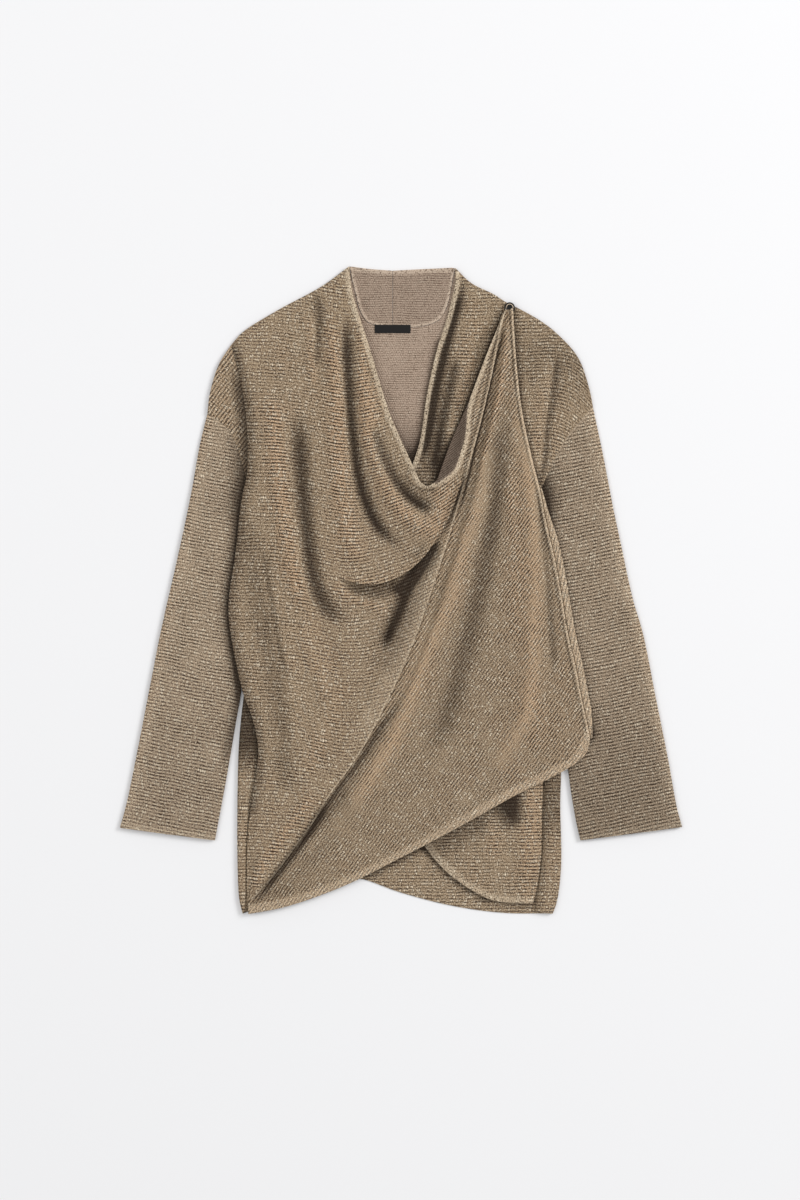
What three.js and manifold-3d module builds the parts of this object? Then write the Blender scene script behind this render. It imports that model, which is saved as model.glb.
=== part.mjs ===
// A cape cardigan in fine knit, laid flat on its back: two wide fronts, a back that wraps to the
// front at the sides, drop-shoulder sleeves, and a right front that crosses over in a cowl, is
// caught by a loop on one shoulder button and falls from there as a cape.
// Millimetres. +X is the wearer's left, +Y runs from hem to neck, +Z up from the surface it lies on.
import * as THREE from "three";
import { mergeVertices } from "three/addons/utils/BufferGeometryUtils.js";
import Module from "manifold-3d";

const wasm = await Module();
wasm.setup();

// Cloth
const WALL = 1.5;
const HEM_WALL = 2.6;
const NECK_HEM_WALL = 2.2;
const SEAM_GAP = 0.5;
const LAYER_GAP = 0.6;

// Heights above the surface
const FRONT_LEVEL = 2.2;
const CAPE_LEVEL = 5.2;
const CAPE_ON_SLEEVE = 1.6;
const DRAPE_RISE = 3.9;
const DRAPE_ON_CAPE = 1.8;
const SLEEVE_SEAM_HEIGHT = 3.7;
const SLEEVE_HEIGHT = 5.4;

// Button, loop and label
const BUTTON = { x: 130, y: 338, radius: 6.5, height: 2.4 };
const BUTTON_TOP = 6.7;
const LOOP_THREAD = 0.7;
const LABEL = { x: -10, y: 313, width: 43, depth: 10, height: 0.6 };

const YARN = { color: 0x91806b, roughness: 0.9, metalness: 0 };
const BLACK_RESIN = { color: 0x1a1816, roughness: 0.35, metalness: 0 };
const BLACK_SATIN = { color: 0x1d1b1a, roughness: 0.6, metalness: 0 };

// Outlines as [x, y]. An edge is one or more stretches, each a smooth curve taken in a number of
// steps, so that both sides of a seam have the same corners.
const armholeRight = stretch([[-232, 212], [-206, 191], [-193, 158], [-186, 134]], 5);
const armholeLeft = stretch([[230, 220], [204, 190], [194, 176], [176, 139], [167, 119]], 5);
const shoulderRight = stretch(
  [[-62, 388], [-95, 364], [-150, 334], [-192, 307], [-217, 273], [-229, 236], [-232, 212]], 8,
);
const SHOULDER_LEFT = [
  [65, 386], [84, 368], [112, 354], [124, 346], [138, 339], [165, 324], [185, 309], [212, 279],
  [226, 240], [230, 220],
];
const neckSeamRight = stretch([[-62, 388], [-56, 360], [-49, 334], [-40, 321], [-10, 314]], 6);
const neckSeamLeft = stretch([[-10, 314], [30, 317], [47, 325], [56, 342], [61, 365], [65, 386]], 6);
const neckTopRight = stretch([[-58, 387.6], [-37, 385], [-10, 383]], 6);
const neckTopLeft = stretch([[-10, 383], [29, 385], [61, 386.4]], 6);

const RIGHT_FRONT = {
  left: joined(
    stretch([[-62, 388], [-95, 364], [-150, 334], [-192, 307], [-203, 292]], 8),
    stretch([[-203, 292], [-193, 252], [-186, 210], [-184, 168], [-184, 140]], 6),
    stretch([
      [-184, 140], [-191, 107], [-198, 45], [-206, -10], [-206, -36], [-190, -120], [-177, -157],
      [-171, -191], [-173, -216], [-181, -266], [-184, -300], [-185, -376],
    ], 18),
  ),
  top: joined(
    stretch([[-62, 388], [-59, 360], [-37, 288], [-13, 210], [10, 158], [23, 129]], 11),
    stretch([[23, 129], [32, 124], [43, 131]], 3),
    stretch([[43, 131], [61, 180], [78, 218], [91, 252], [104, 286], [126, 336]], 12),
  ),
  right: stretch([
    [126, 336], [119, 308], [109, 258], [98, 210], [82, 150], [65, 88], [45, 23], [16, -61],
    [-4, -108], [-20, -141], [-49, -195], [-88, -250], [-106, -280], [-128, -310], [-152, -342], [-178, -371],
  ], 32),
  bottom: stretch([[-185, -376], [-178, -371]], 26),
};
// The right front's cloth at the armhole, which its draped part folds over
const ARMHOLE_CORNER = {
  left: armholeRight,
  top: stretch([[-232, 212], [-229, 236], [-217, 273], [-194, 305]], 5),
  right: stretch([[-194, 305], [-180, 250], [-173, 200], [-171, 160], [-176, 136]], 5),
  bottom: stretch([[-186, 134], [-176, 136]], 5),
};
const CAPE = {
  left: stretch([
    [120, 328], [109, 294], [90, 216], [58, 120], [30, 36], [-2, -48], [-35, -120], [-67, -192],
    [-103, -252], [-133, -281], [-147, -295], [-174, -336], [-182, -368], [-183, -388],
  ], 22),
  top: stretch([[120, 328], [133, 330]], 13),
  right: stretch([
    [133, 330], [137, 288], [143, 226], [152, 178], [160, 144], [167, 117], [171, 94], [177, 67],
    [184, 37], [192, -6], [200, -53], [209, -92], [218, -139], [224, -165], [226, -178],
  ], 22),
  bottom: stretch([
    [-183, -388], [-141, -380], [-95, -365], [-52, -347], [-3, -322], [43, -298], [89, -273],
    [135, -247], [175, -227], [211, -206], [224, -191], [226, -178],
  ], 13),
};
const LEFT_FRONT = {
  left: joined(
    stretch([[65, 386], [65, 370], [55, 326], [43, 288], [31, 234], [22, 176], [11, 144]], 9),
    stretch([[11, 144], [1, 36], [-1, -132], [11, -252], [28, -307]], 8),
  ),
  top: stretch(SHOULDER_LEFT, 13),
  right: joined(armholeLeft, stretch([
    [167, 119], [168, 36], [173, -132], [170, -233], [169, -270], [168, -316], [164, -350], [158, -376],
  ], 12)),
  bottom: stretch([
    [28, -307], [37, -319], [58, -341], [83, -359], [104, -370], [120, -374], [158, -376],
  ], 13),
};
const BACK = {
  left: joined(armholeRight, stretch([
    [-186, 134], [-185, 108], [-186, -12], [-188, -120], [-194, -178], [-196, -240], [-196, -331],
    [-194, -371], [-190, -388],
  ], 9)),
  top: joined([...shoulderRight].reverse(), neckSeamRight, neckSeamLeft, stretch(SHOULDER_LEFT, 9)),
  right: joined(armholeLeft, stretch([
    [167, 119], [176, 36], [186, -72], [192, -215], [191, -256], [192, -331], [187, -374], [182, -388],
  ], 9)),
  bottom: stretch([
    [-190, -388], [-139, -372], [-95, -353], [-67, -346], [-46, -347], [-3, -362], [58, -378],
    [120, -387], [182, -388],
  ], 29),
};
const SIDE_RETURN_RIGHT = {
  outer: stretch([
    [-188, -120], [-194, -178], [-196, -240], [-196, -331], [-194, -371], [-190, -388],
  ], 10),
  inner: stretch([
    [-176, -120], [-166, -170], [-168, -225], [-182, -268], [-185.5, -300], [-186.5, -380],
  ], 10),
};
const SIDE_RETURN_LEFT = {
  outer: stretch([
    [178, 20], [186, -72], [192, -215], [191, -256], [192, -331], [187, -374], [182, -388],
  ], 10),
  inner: stretch([
    [171, 20], [175, -72], [175, -132], [172, -233], [171, -270], [170, -316], [166, -350], [161, -386],
  ], 10),
};
const SLEEVE_RIGHT = {
  top: moved(armholeRight, -SEAM_GAP, -SEAM_GAP / 2),
  left: stretch([
    [-232, 212], [-241, 175], [-250, 124], [-258, 84], [-268, 38], [-288, -50], [-301, -116],
    [-316, -193], [-329, -256], [-337, -285],
  ], 14),
  right: stretch([
    [-186, 134], [-190, 36], [-190, -60], [-191, -116], [-199, -166], [-210, -230], [-223, -300],
  ], 14),
  bottom: stretch([[-337, -285], [-223, -300]], 5),
};
const SLEEVE_LEFT = {
  top: moved(armholeLeft, SEAM_GAP, -SEAM_GAP / 2),
  left: stretch([
    [230, 220], [243, 158], [254, 100], [263, 58], [278, -11], [290, -52], [305, -127],
    [320, -202], [331, -262], [337, -284],
  ], 14),
  right: stretch([
    [167, 119], [180, 36], [189, -72], [195, -132], [200, -213], [209, -273], [215, -300],
  ], 14),
  bottom: stretch([[337, -284], [215, -300]], 5),
};

// Folds: how far the cloth rises (or sinks) along a path, and how far to each side that reaches
const RIGHT_FRONT_FOLDS = [
  { rise: -2.5, reach: 8, path: [[-100, 358], [-96, 302], [-93, 235]] },
  { rise: 3.5, reach: 14, path: [[-86, 336], [-83, 288], [-76, 228], [-72, 120], [-61, 36]] },
  { rise: -6, reach: 9, path: [[-62, 336], [-56, 252], [-52, 180], [-42, 114], [-16, 64], [5, 48]] },
  { rise: 5, reach: 13, path: [[-41, 262], [-35, 185], [-20, 134], [-4, 101], [22, 76], [47, 67]] },
  { rise: -4, reach: 8, path: [[-27, 230], [-13, 172], [3, 121], [24, 104], [44, 85]] },
  { rise: -4, reach: 12, path: [[-126, 252], [-120, 185], [-114, 84], [-97, -12], [-79, -60]] },
  { rise: 3.5, reach: 13, path: [[-150, 245], [-144, 151], [-131, 50], [-114, -12]] },
  { rise: 5, reach: 10, path: [[-80, 26], [-46, 16], [-15, 19], [8, 30], [26, 47], [42, 68]] },
  { rise: -5, reach: 8, path: [[-50, 0], [-15, 0], [8, 8], [26, 24], [36, 44]] },
  { rise: -4, reach: 8, path: [[36, 44], [22, 14], [11, -13], [-5, -44], [-22, -74]] },
  { rise: 8, reach: 9, path: [[18, 132], [44, 128], [64, 144], [77, 187], [84, 234], [106, 297]] },
  { rise: -3, reach: 14, path: [[-110, 6], [-95, -55], [-71, -102]] },
  { rise: 2.5, reach: 12, path: [[-159, 18], [-138, -80], [-134, -209], [-150, -290]] },
];
const CAPE_FOLDS = [
  {
    rise: 5,
    reach: 12,
    path: [[107, 160], [93, 105], [74, 50], [58, -10], [36, -59], [19, -102], [-4, -168], [-75, -285]],
  },
  { rise: -1.5, reach: 8, path: [[137, 228], [125, 156], [116, 108], [104, 36]] },
  { rise: -2.8, reach: 8, path: [[-84, -252], [-113, -286], [-150, -325], [-174, -365]] },
  { rise: 2.5, reach: 8, path: [[-68, -258], [-98, -295], [-132, -333], [-162, -368]] },
  { rise: 4, reach: 12, path: [[145, 160], [157, 90], [162, 18], [159, -56], [162, -117], [119, -193]] },
];
const LEFT_FRONT_FOLDS = [
  { rise: 2.5, reach: 12, path: [[88, 340], [83, 312], [65, 228], [47, 168]] },
  { rise: 2.5, reach: 10, path: [[176, 285], [170, 235], [163, 190], [157, 130]] },
  { rise: 2, reach: 10, path: [[150, -240], [149, -290], [148, -350]] },
];

// Height of the draped right front's lower face along its side, from the neck to the hem
const DRAPE_SIDE = [
  { y: 388, z: 2.2 }, { y: 305, z: 2.2 }, { y: 292, z: 3.1 }, { y: 150, z: 3.1 }, { y: 138, z: 4.7 },
  { y: 100, z: 5.4 }, { y: 60, z: 6 }, { y: -240, z: 6 }, { y: -262, z: 4.4 }, { y: -285, z: 2.2 },
  { y: -389, z: 2.2 },
];

const smooth = (t) => THREE.MathUtils.smoothstep(t, 0, 1);

function stretch(points, steps) {
  const knots = points.map(([x, y]) => new THREE.Vector3(x, y, 0));
  return new THREE.CatmullRomCurve3(knots, false, "centripetal").getSpacedPoints(steps);
}

function joined(...stretches) {
  return stretches.flatMap((points, i) => (i === 0 ? points : points.slice(1)));
}

function moved(points, dx, dy) {
  return points.map((p) => new THREE.Vector3(p.x + dx, p.y + dy, 0));
}

// The place at a step, or part of a step, along an edge
function along(edge, step) {
  const i = Math.min(Math.floor(step), edge.length - 2);
  return edge[i].clone().lerp(edge[i + 1], step - i);
}

// The steps of an edge, with any places between them where a band ends
function stepsOf(edge, extra = []) {
  return [...edge.keys(), ...extra].sort((a, b) => a - b);
}

// A plan position inside four edges that meet at their ends, from steps across and down
function planOf({ left, right, top, bottom }) {
  const across = top.length - 1;
  const down = left.length - 1;
  return (column, row) => {
    const u = column / across;
    const v = row / down;
    const point = along(top, column).multiplyScalar(1 - v).addScaledVector(along(bottom, column), v);
    point.addScaledVector(along(left, row), 1 - u).addScaledVector(along(right, row), u);
    point.addScaledVector(top[0], -(1 - u) * (1 - v)).addScaledVector(top[across], -u * (1 - v));
    return point.addScaledVector(bottom[0], -(1 - u) * v).addScaledVector(bottom[across], -u * v);
  };
}

// Like planOf, for a panel with a notch: Winslow's equations keep its cells from folding over
function evenPlanOf(edges) {
  const rounds = 400;
  const start = planOf(edges);
  const columns = [...edges.top.keys()];
  const grid = edges.left.map((_, row) => columns.map((column) => start(column, row)));
  for (let round = 0; round < rounds; round += 1) {
    for (let i = 1; i + 1 < edges.left.length; i += 1) {
      const [above, here, below] = grid.slice(i - 1, i + 2);
      for (let j = 1; j + 1 < columns.length; j += 1) {
        const across = here[j + 1].clone().sub(here[j - 1]).multiplyScalar(0.5);
        const down = below[j].clone().sub(above[j]).multiplyScalar(0.5);
        const twist = below[j + 1].clone().sub(below[j - 1]).sub(above[j + 1]).add(above[j - 1]);
        const beside = here[j + 1].clone().add(here[j - 1]);
        const beyond = above[j].clone().add(below[j]);
        const weight = 2 * (across.lengthSq() + down.lengthSq());
        here[j] = beside.multiplyScalar(down.lengthSq()).addScaledVector(beyond, across.lengthSq());
        here[j].addScaledVector(twist, -across.dot(down) / 2).divideScalar(weight);
      }
    }
  }
  return (column, row) => {
    const i = Math.min(Math.floor(row), grid.length - 2);
    return along(grid[i], column).lerp(along(grid[i + 1], column), row - i);
  };
}

// Height that a list of folds adds at a place: a soft ridge or trough that fades at both ends
function foldHeights(folds) {
  const steps = 24;
  const fadeLength = 0.16;
  const lines = folds.map((fold) => ({ ...fold, points: stretch(fold.path, steps) }));
  const place = new THREE.Vector3();
  const nearest = new THREE.Vector3();
  return (x, y) => {
    place.set(x, y, 0);
    let height = 0;
    for (const { rise, reach, points } of lines) {
      let best = Infinity;
      let along = 0;
      for (let i = 0; i < steps; i += 1) {
        const piece = new THREE.Line3(points[i], points[i + 1]);
        const t = piece.closestPointToPointParameter(place, true);
        const gap = piece.at(t, nearest).distanceTo(place);
        if (gap < best) {
          best = gap;
          along = (i + t) / steps;
        }
      }
      const fade = smooth(along / fadeLength) * smooth((1 - along) / fadeLength);
      height += rise * fade * Math.exp(-((best / reach) ** 2));
    }
    return height;
  };
}

// The value in one column of a table, at a place down its rows of falling y
function columnOf(rows, name) {
  return (y) => {
    const i = rows.findIndex((row) => row.y <= y);
    if (i === 0) return rows[0][name];
    if (i < 0) return rows.at(-1)[name];
    return THREE.MathUtils.mapLinear(y, rows[i - 1].y, rows[i].y, rows[i - 1][name], rows[i][name]);
  };
}

// One closed mesh from rings of points that go round it, with the first and last ring capped
function closedGrid(rings, capStart, capEnd) {
  const count = rings[0].length;
  const position = rings.flat().flatMap((p) => [p.x, p.y, p.z]);
  const index = [];
  for (let i = 0; i + 1 < rings.length; i += 1) {
    for (let j = 0; j < count; j += 1) {
      const a = i * count + j;
      const b = i * count + ((j + 1) % count);
      index.push(a, b, b + count, a, b + count, a + count);
    }
  }
  const last = (rings.length - 1) * count;
  for (const [a, b, c] of capStart) index.push(a, c, b);
  for (const [a, b, c] of capEnd) index.push(last + a, last + b, last + c);
  const geometry = new THREE.BufferGeometry();
  geometry.setAttribute("position", new THREE.Float32BufferAttribute(position, 3));
  geometry.setIndex(index);
  return geometry;
}

// A cloth wall over a plan: each row is a ring, out along the lower face and back along the upper
function clothPanel(edges, options) {
  const { under, wall = () => WALL, bandRow = [], bandColumn = [], plan = planOf(edges) } = options;
  const columns = stepsOf(edges.top, bandColumn);
  const rings = stepsOf(edges.left, bandRow).map((row) => {
    const lower = columns.map((column) => {
      const p = plan(column, row);
      p.z = under(p.x, p.y, column, row);
      return p;
    });
    const upper = lower.map((p, i) => p.clone().setZ(p.z + wall(columns[i], row)));
    return [...lower, ...upper.reverse()];
  });
  const cap = [];
  const count = columns.length * 2;
  for (let i = 0; i + 1 < columns.length; i += 1) {
    const [a, b, c, d] = [i, i + 1, count - 2 - i, count - 1 - i];
    cap.push([a, b, c], [a, c, d]);
  }
  return closedGrid(rings, cap, cap);
}

function volumeOf(geometry) {
  const place = geometry.getAttribute("position");
  const index = geometry.getIndex();
  const [a, b, c] = [new THREE.Vector3(), new THREE.Vector3(), new THREE.Vector3()];
  let volume = 0;
  for (let i = 0; i < index.count; i += 3) {
    a.fromBufferAttribute(place, index.getX(i));
    b.fromBufferAttribute(place, index.getX(i + 1));
    c.fromBufferAttribute(place, index.getX(i + 2));
    volume += a.dot(b.cross(c)) / 6;
  }
  return volume;
}

// The same surface with its vertices shared and its faces pointing out
function facingOut(source) {
  const bare = source.clone();
  bare.deleteAttribute("normal");
  bare.deleteAttribute("uv");
  const geometry = mergeVertices(bare, 1e-4);
  if (volumeOf(geometry) < 0) {
    const index = geometry.getIndex();
    for (let i = 0; i < index.count; i += 3) {
      const first = index.getX(i);
      index.setX(i, index.getX(i + 1));
      index.setX(i + 1, first);
    }
  }
  return geometry;
}

function toSolid(geometry) {
  const shared = facingOut(geometry);
  return new wasm.Manifold(new wasm.Mesh({
    numProp: 3,
    vertProperties: new Float32Array(shared.getAttribute("position").array),
    triVerts: new Uint32Array(shared.getIndex().array),
  }));
}

function fromSolid(solid) {
  const mesh = solid.getMesh();
  const geometry = new THREE.BufferGeometry();
  geometry.setAttribute("position", new THREE.BufferAttribute(mesh.vertProperties, 3));
  geometry.setIndex(new THREE.BufferAttribute(mesh.triVerts, 1));
  return geometry;
}

const garment = new THREE.Group();

function addPiece(name, geometry, finish = YARN) {
  const mesh = new THREE.Mesh(facingOut(geometry), new THREE.MeshStandardMaterial(finish));
  mesh.name = name;
  garment.add(mesh);
}

// The heights of the lower face of each layer, and what the next one has to clear
const leftFolds = foldHeights(LEFT_FRONT_FOLDS);
const capeFolds = foldHeights(CAPE_FOLDS);
const drapeFolds = foldHeights(RIGHT_FRONT_FOLDS);
const drapeSideZ = columnOf(DRAPE_SIDE, "z");
const capeLeftX = columnOf(CAPE.left, "x");
const leftFrontX = columnOf(LEFT_FRONT.left, "x");

const leftFrontUnder = (x, y) => FRONT_LEVEL + leftFolds(x, y);

function capeUnder(x, y) {
  const overSleeve = CAPE_ON_SLEEVE * smooth((x - 160) / 14);
  const own = CAPE_LEVEL + overSleeve + capeFolds(x, y);
  return Math.max(own, leftFrontUnder(x, y) + WALL + LAYER_GAP);
}

// Above the cloth, and above the button's face, that the draped right front passes over
function clearanceUnderDrape(x, y) {
  const margin = 6;
  if (Math.hypot(x - BUTTON.x, y - BUTTON.y) < BUTTON.radius + margin) return BUTTON_TOP + LAYER_GAP;
  if (x > capeLeftX(y) - margin && y < CAPE.left[0].y) return capeUnder(x, y) + WALL + LAYER_GAP;
  if (x > leftFrontX(y) - margin) return leftFrontUnder(x, y) + HEM_WALL + LAYER_GAP;
  return WALL + LAYER_GAP;
}

function buildBack() {
  const flat = toSolid(clothPanel(BACK, { plan: evenPlanOf(BACK), under: () => 0 }));
  return fromSolid(flat.add(sideReturn(SIDE_RETURN_RIGHT)).add(sideReturn(SIDE_RETURN_LEFT)));
}

// The back's edge turned up and over towards the side seam, as a hook-shaped section
function sideReturn({ outer, inner }) {
  const top = FRONT_LEVEL + WALL;
  const lap = 6;
  const round = 0.7;
  const rings = outer.map((from, i) => {
    const way = inner[i].clone().sub(from);
    const width = way.length();
    way.normalize();
    const section = [
      [0, round], [round, 0], [lap, 0], [lap, WALL], [WALL + 0.4, WALL],
      [WALL + 0.4, FRONT_LEVEL], [width, FRONT_LEVEL], [width, top], [round, top], [0, top - round],
    ];
    return section.map(([d, z]) => from.clone().addScaledVector(way, d).setZ(z));
  });
  const shape = rings[0].map((p) => new THREE.Vector2(p.distanceTo(rings[0][0].clone().setZ(p.z)), p.z));
  const cap = THREE.ShapeUtils.triangulateShape(shape, []);
  return toSolid(closedGrid(rings, cap, cap));
}

function buildLeftFront() {
  const band = 0.6;
  return clothPanel(LEFT_FRONT, {
    bandColumn: [band],
    under: leftFrontUnder,
    wall: (column) => (column <= band ? NECK_HEM_WALL : WALL),
  });
}

function buildRightFront() {
  const lip = RIGHT_FRONT.top.length - 1;
  const lipStart = lip - 0.3;
  const lipWall = 2.4;
  const nip = 0.9;
  const band = 0.35;
  const drape = clothPanel(RIGHT_FRONT, {
    plan: evenPlanOf(RIGHT_FRONT),
    bandRow: [band],
    bandColumn: [lipStart],
    wall: (column, row) => {
      if (row <= band) return HEM_WALL;
      return column >= lipStart || column === 0 ? lipWall : WALL;
    },
    under: (x, y, column) => {
      if (column === 0) return drapeSideZ(y);
      const across = DRAPE_ON_CAPE * smooth((x + 60) / 60);
      const own = FRONT_LEVEL + DRAPE_RISE + across + drapeFolds(x, y);
      const clear = Math.max(own, clearanceUnderDrape(x, y));
      return column < lip || y > CAPE.right[1].y ? clear : capeUnder(x, y) + nip;
    },
  });
  const corner = clothPanel(ARMHOLE_CORNER, { under: () => FRONT_LEVEL });
  const cape = clothPanel(CAPE, { under: capeUnder });
  return fromSolid(toSolid(drape).add(toSolid(cape)).add(toSolid(corner)));
}

// A flattened tube of cloth over a plan, open at the armhole and at the cuff
function buildSleeve(edges) {
  const plan = planOf(edges);
  const across = edges.top.length - 1;
  const edge = 0.12;
  const columns = stepsOf(edges.top, [edge, across - edge]);
  const ringOf = (row, inset) => {
    const rise = smooth((4 * row) / (edges.left.length - 1));
    const height = THREE.MathUtils.lerp(SLEEVE_SEAM_HEIGHT, SLEEVE_HEIGHT, rise);
    const width = plan(0, row).distanceTo(plan(across, row));
    const narrowed = 1 - (2 * inset) / width;
    const wallOf = (list, z, middle) => list.map((column) => {
      const p = plan(across / 2 + (column - across / 2) * narrowed, row);
      return p.setZ(column === 0 || column === across ? middle : z);
    });
    const top = wallOf(columns, height - inset, height / 2);
    const bottom = wallOf(columns.slice(1, -1).reverse(), inset, height / 2);
    return [...top, ...bottom];
  };
  const rows = stepsOf(edges.left);
  const outside = rows.map((row) => ringOf(row, 0));
  const inside = rows.map((row) => ringOf(row, WALL)).reverse();
  return closedGrid([...outside, ...inside, outside[0]], [], []);
}

// Half of the neck band, which is cut in one with each front and meets at the centre back. It lies
// inside the back's neck seam, and side is -1 for the right half and 1 for the left.
function buildCollar(top, seam, side) {
  const middle = new THREE.Vector3(0, 388, 0);
  const centreBack = -10 + (side * SEAM_GAP) / 2;
  const bottom = seam.map((p) => p.clone().lerp(middle, SEAM_GAP / p.distanceTo(middle)));
  for (const edge of [top, bottom]) edge.at(side < 0 ? -1 : 0).x = centreBack;
  const rows = 4;
  const down = (i) => new THREE.LineCurve3(top.at(i), bottom.at(i)).getSpacedPoints(rows);
  const band = 0.45;
  return clothPanel({ top, bottom, left: down(0), right: down(-1) }, {
    bandRow: [band],
    under: () => 0,
    wall: (column, row) => (row <= band ? HEM_WALL : WALL),
  });
}

// The cape's front edge turned under, which shows as a narrow roll beside it
function buildCapeRoll() {
  const first = 9;
  const edge = CAPE.right.slice(first);
  const count = edge.length - 1;
  const rings = edge.map((p, i) => {
    const way = edge[Math.min(i + 1, count)].clone().sub(edge[Math.max(i - 1, 0)]).normalize();
    const out = new THREE.Vector3(-way.y, way.x, 0);
    const t = i / count;
    const width = 8.5 * Math.min(1, 0.15 + t * 4, 0.3 + (1 - t) * 6);
    const low = SLEEVE_HEIGHT + 0.4;
    const section = [
      [0.5, low + 0.4], [0.5 + width, low], [0.8 + width, low + 1], [0.5 + width, low + 1.7], [0.5, low + 2],
    ];
    return section.map(([d, z]) => p.clone().addScaledVector(out, d).setZ(z));
  });
  const cap = [[0, 1, 2], [0, 2, 3], [0, 3, 4]];
  return closedGrid(rings, cap, cap);
}

function buildButton() {
  const { radius, height } = BUTTON;
  const rim = 0.7;
  const dish = 0.6;
  const profile = [
    [0, 0], [radius - rim, 0], [radius, rim], [radius, height - rim], [radius - rim, height],
    [radius - 2 * rim, height], [radius - 3 * rim, height - dish], [0, height - dish],
  ].map(([r, z]) => new THREE.Vector2(r, z));
  const geometry = new THREE.LatheGeometry(profile, 24);
  geometry.rotateX(Math.PI / 2);
  geometry.translate(BUTTON.x, BUTTON.y, BUTTON_TOP - BUTTON.height);
  return geometry;
}

// The loop of thread that holds the right front's corner, over the button's face
function buildLoop() {
  const reach = BUTTON.radius - 2;
  const points = [];
  const bends = 10;
  const z = BUTTON_TOP + LOOP_THREAD + 0.3;
  for (let i = 0; i <= bends; i += 1) {
    const angle = Math.PI * (1.05 - (1.1 * i) / bends);
    const [x, y] = [BUTTON.x + reach * Math.cos(angle), BUTTON.y + reach * Math.sin(angle)];
    points.push(new THREE.Vector3(x, y, z));
  }
  const section = new THREE.Shape();
  section.absarc(0, 0, LOOP_THREAD, 0, Math.PI * 2);
  const path = new THREE.CatmullRomCurve3(points);
  return new THREE.ExtrudeGeometry(section, { steps: 24, curveSegments: 4, extrudePath: path });
}

function buildLabel() {
  const geometry = new THREE.BoxGeometry(LABEL.width, LABEL.depth, LABEL.height);
  geometry.translate(LABEL.x, LABEL.y, WALL + 0.3 + LABEL.height / 2);
  return geometry;
}

addPiece("back", buildBack());
addPiece("back_collar_right", buildCollar(neckTopRight, neckSeamRight, -1));
addPiece("back_collar_left", buildCollar(neckTopLeft, neckSeamLeft, 1));
addPiece("left_front", buildLeftFront());
addPiece("right_front", buildRightFront());
addPiece("right_sleeve", buildSleeve(SLEEVE_RIGHT));
addPiece("left_sleeve", buildSleeve(SLEEVE_LEFT));
addPiece("cape_edge_roll", buildCapeRoll());
addPiece("shoulder_button", buildButton(), BLACK_RESIN);
addPiece("button_loop", buildLoop());
addPiece("neck_label", buildLabel(), BLACK_SATIN);

export default garment;
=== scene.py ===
# %% [markdown]
# # A cape cardigan, laid flat
# The cardigan lies on its back, seen from straight above. Its right front is very wide: it drapes
# in a cowl, is caught by a loop on a shoulder button and falls from there as a cape. We build each
# cut piece of cloth as a thin shell on the form of its solid, and give it a flecked knit.

import math

import bpy
import numpy as np
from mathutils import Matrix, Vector


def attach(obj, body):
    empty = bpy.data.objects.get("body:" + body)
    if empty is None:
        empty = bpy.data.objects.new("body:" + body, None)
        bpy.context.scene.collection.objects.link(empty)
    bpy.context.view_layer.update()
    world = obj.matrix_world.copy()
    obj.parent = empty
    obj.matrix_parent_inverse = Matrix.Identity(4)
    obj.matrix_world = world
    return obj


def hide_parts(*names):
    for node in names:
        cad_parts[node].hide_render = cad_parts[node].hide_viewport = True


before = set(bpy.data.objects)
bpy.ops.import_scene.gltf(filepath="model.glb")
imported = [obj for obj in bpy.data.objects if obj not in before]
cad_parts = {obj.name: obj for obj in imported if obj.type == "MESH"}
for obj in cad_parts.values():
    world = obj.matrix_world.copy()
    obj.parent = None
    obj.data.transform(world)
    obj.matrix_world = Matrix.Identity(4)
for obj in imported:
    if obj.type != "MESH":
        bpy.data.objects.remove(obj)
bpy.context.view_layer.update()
MM = 0.001
print("frame nodes:", sorted(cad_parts))

# %% [markdown]
# ## The camera
# A flat lay is photographed from above. A camera in Blender looks down its own -Z axis, so with no
# rotation at all it looks straight down, with +Y up in the picture. The lens follows from the
# height of the camera and the 1.44 m that the picture is tall.

# %% Overhead camera
CAMERA_HEIGHT = 2.5
PICTURE_HEIGHT = 1.44
SENSOR = 36

camera_data = bpy.data.cameras.new("overhead_camera")
camera_data.sensor_width = SENSOR
camera_data.lens = SENSOR * CAMERA_HEIGHT / PICTURE_HEIGHT
camera = bpy.data.objects.new("overhead_camera", camera_data)
camera.location = (-0.0012, -0.012, CAMERA_HEIGHT)
bpy.context.scene.collection.objects.link(camera)
bpy.context.scene.camera = camera
bpy.context.scene.view_settings.view_transform = "Standard"
print("lens", round(camera_data.lens, 1), "mm")

# %% [markdown]
# ## Smooth lines through a few places
# Every edge and fold starts as a short table of places in millimetres. A centripetal Catmull-Rom
# curve goes through all of them with no loops. Points are then taken at even distances, so that
# two edges of a panel can be matched step by step.

# %% Smooth lines
FINE = 8


def smooth_line(places, steps):
    """Points at even distances on a smooth curve through the places."""
    knots = np.array(places, float)
    knots = np.vstack([2 * knots[0] - knots[1], knots, 2 * knots[-1] - knots[-2]])
    t = np.linspace(0, 1, 24, endpoint=False)[:, None]
    dense = []
    for a, b, c, d in zip(knots, knots[1:], knots[2:], knots[3:]):
        before, here, after = (math.sqrt(math.dist(*pair)) for pair in ((a, b), (b, c), (c, d)))
        start = ((b - a) / before - (c - a) / (before + here) + (c - b) / here) * here
        end = ((c - b) / here - (d - b) / (here + after) + (d - c) / after) * here
        dense.append(
            b + start * t + (3 * (c - b) - 2 * start - end) * t**2 + (2 * (b - c) + start + end) * t**3
        )
    dense = np.vstack([*dense, knots[-2:-1]])
    run = np.concatenate([[0], np.cumsum(np.linalg.norm(np.diff(dense, axis=0), axis=1))])
    wanted = np.linspace(0, run[-1], steps + 1)
    return np.column_stack([np.interp(wanted, run, dense[:, k]) for k in range(2)])


def stretch(places, steps):
    return smooth_line(places, steps * FINE)


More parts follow.
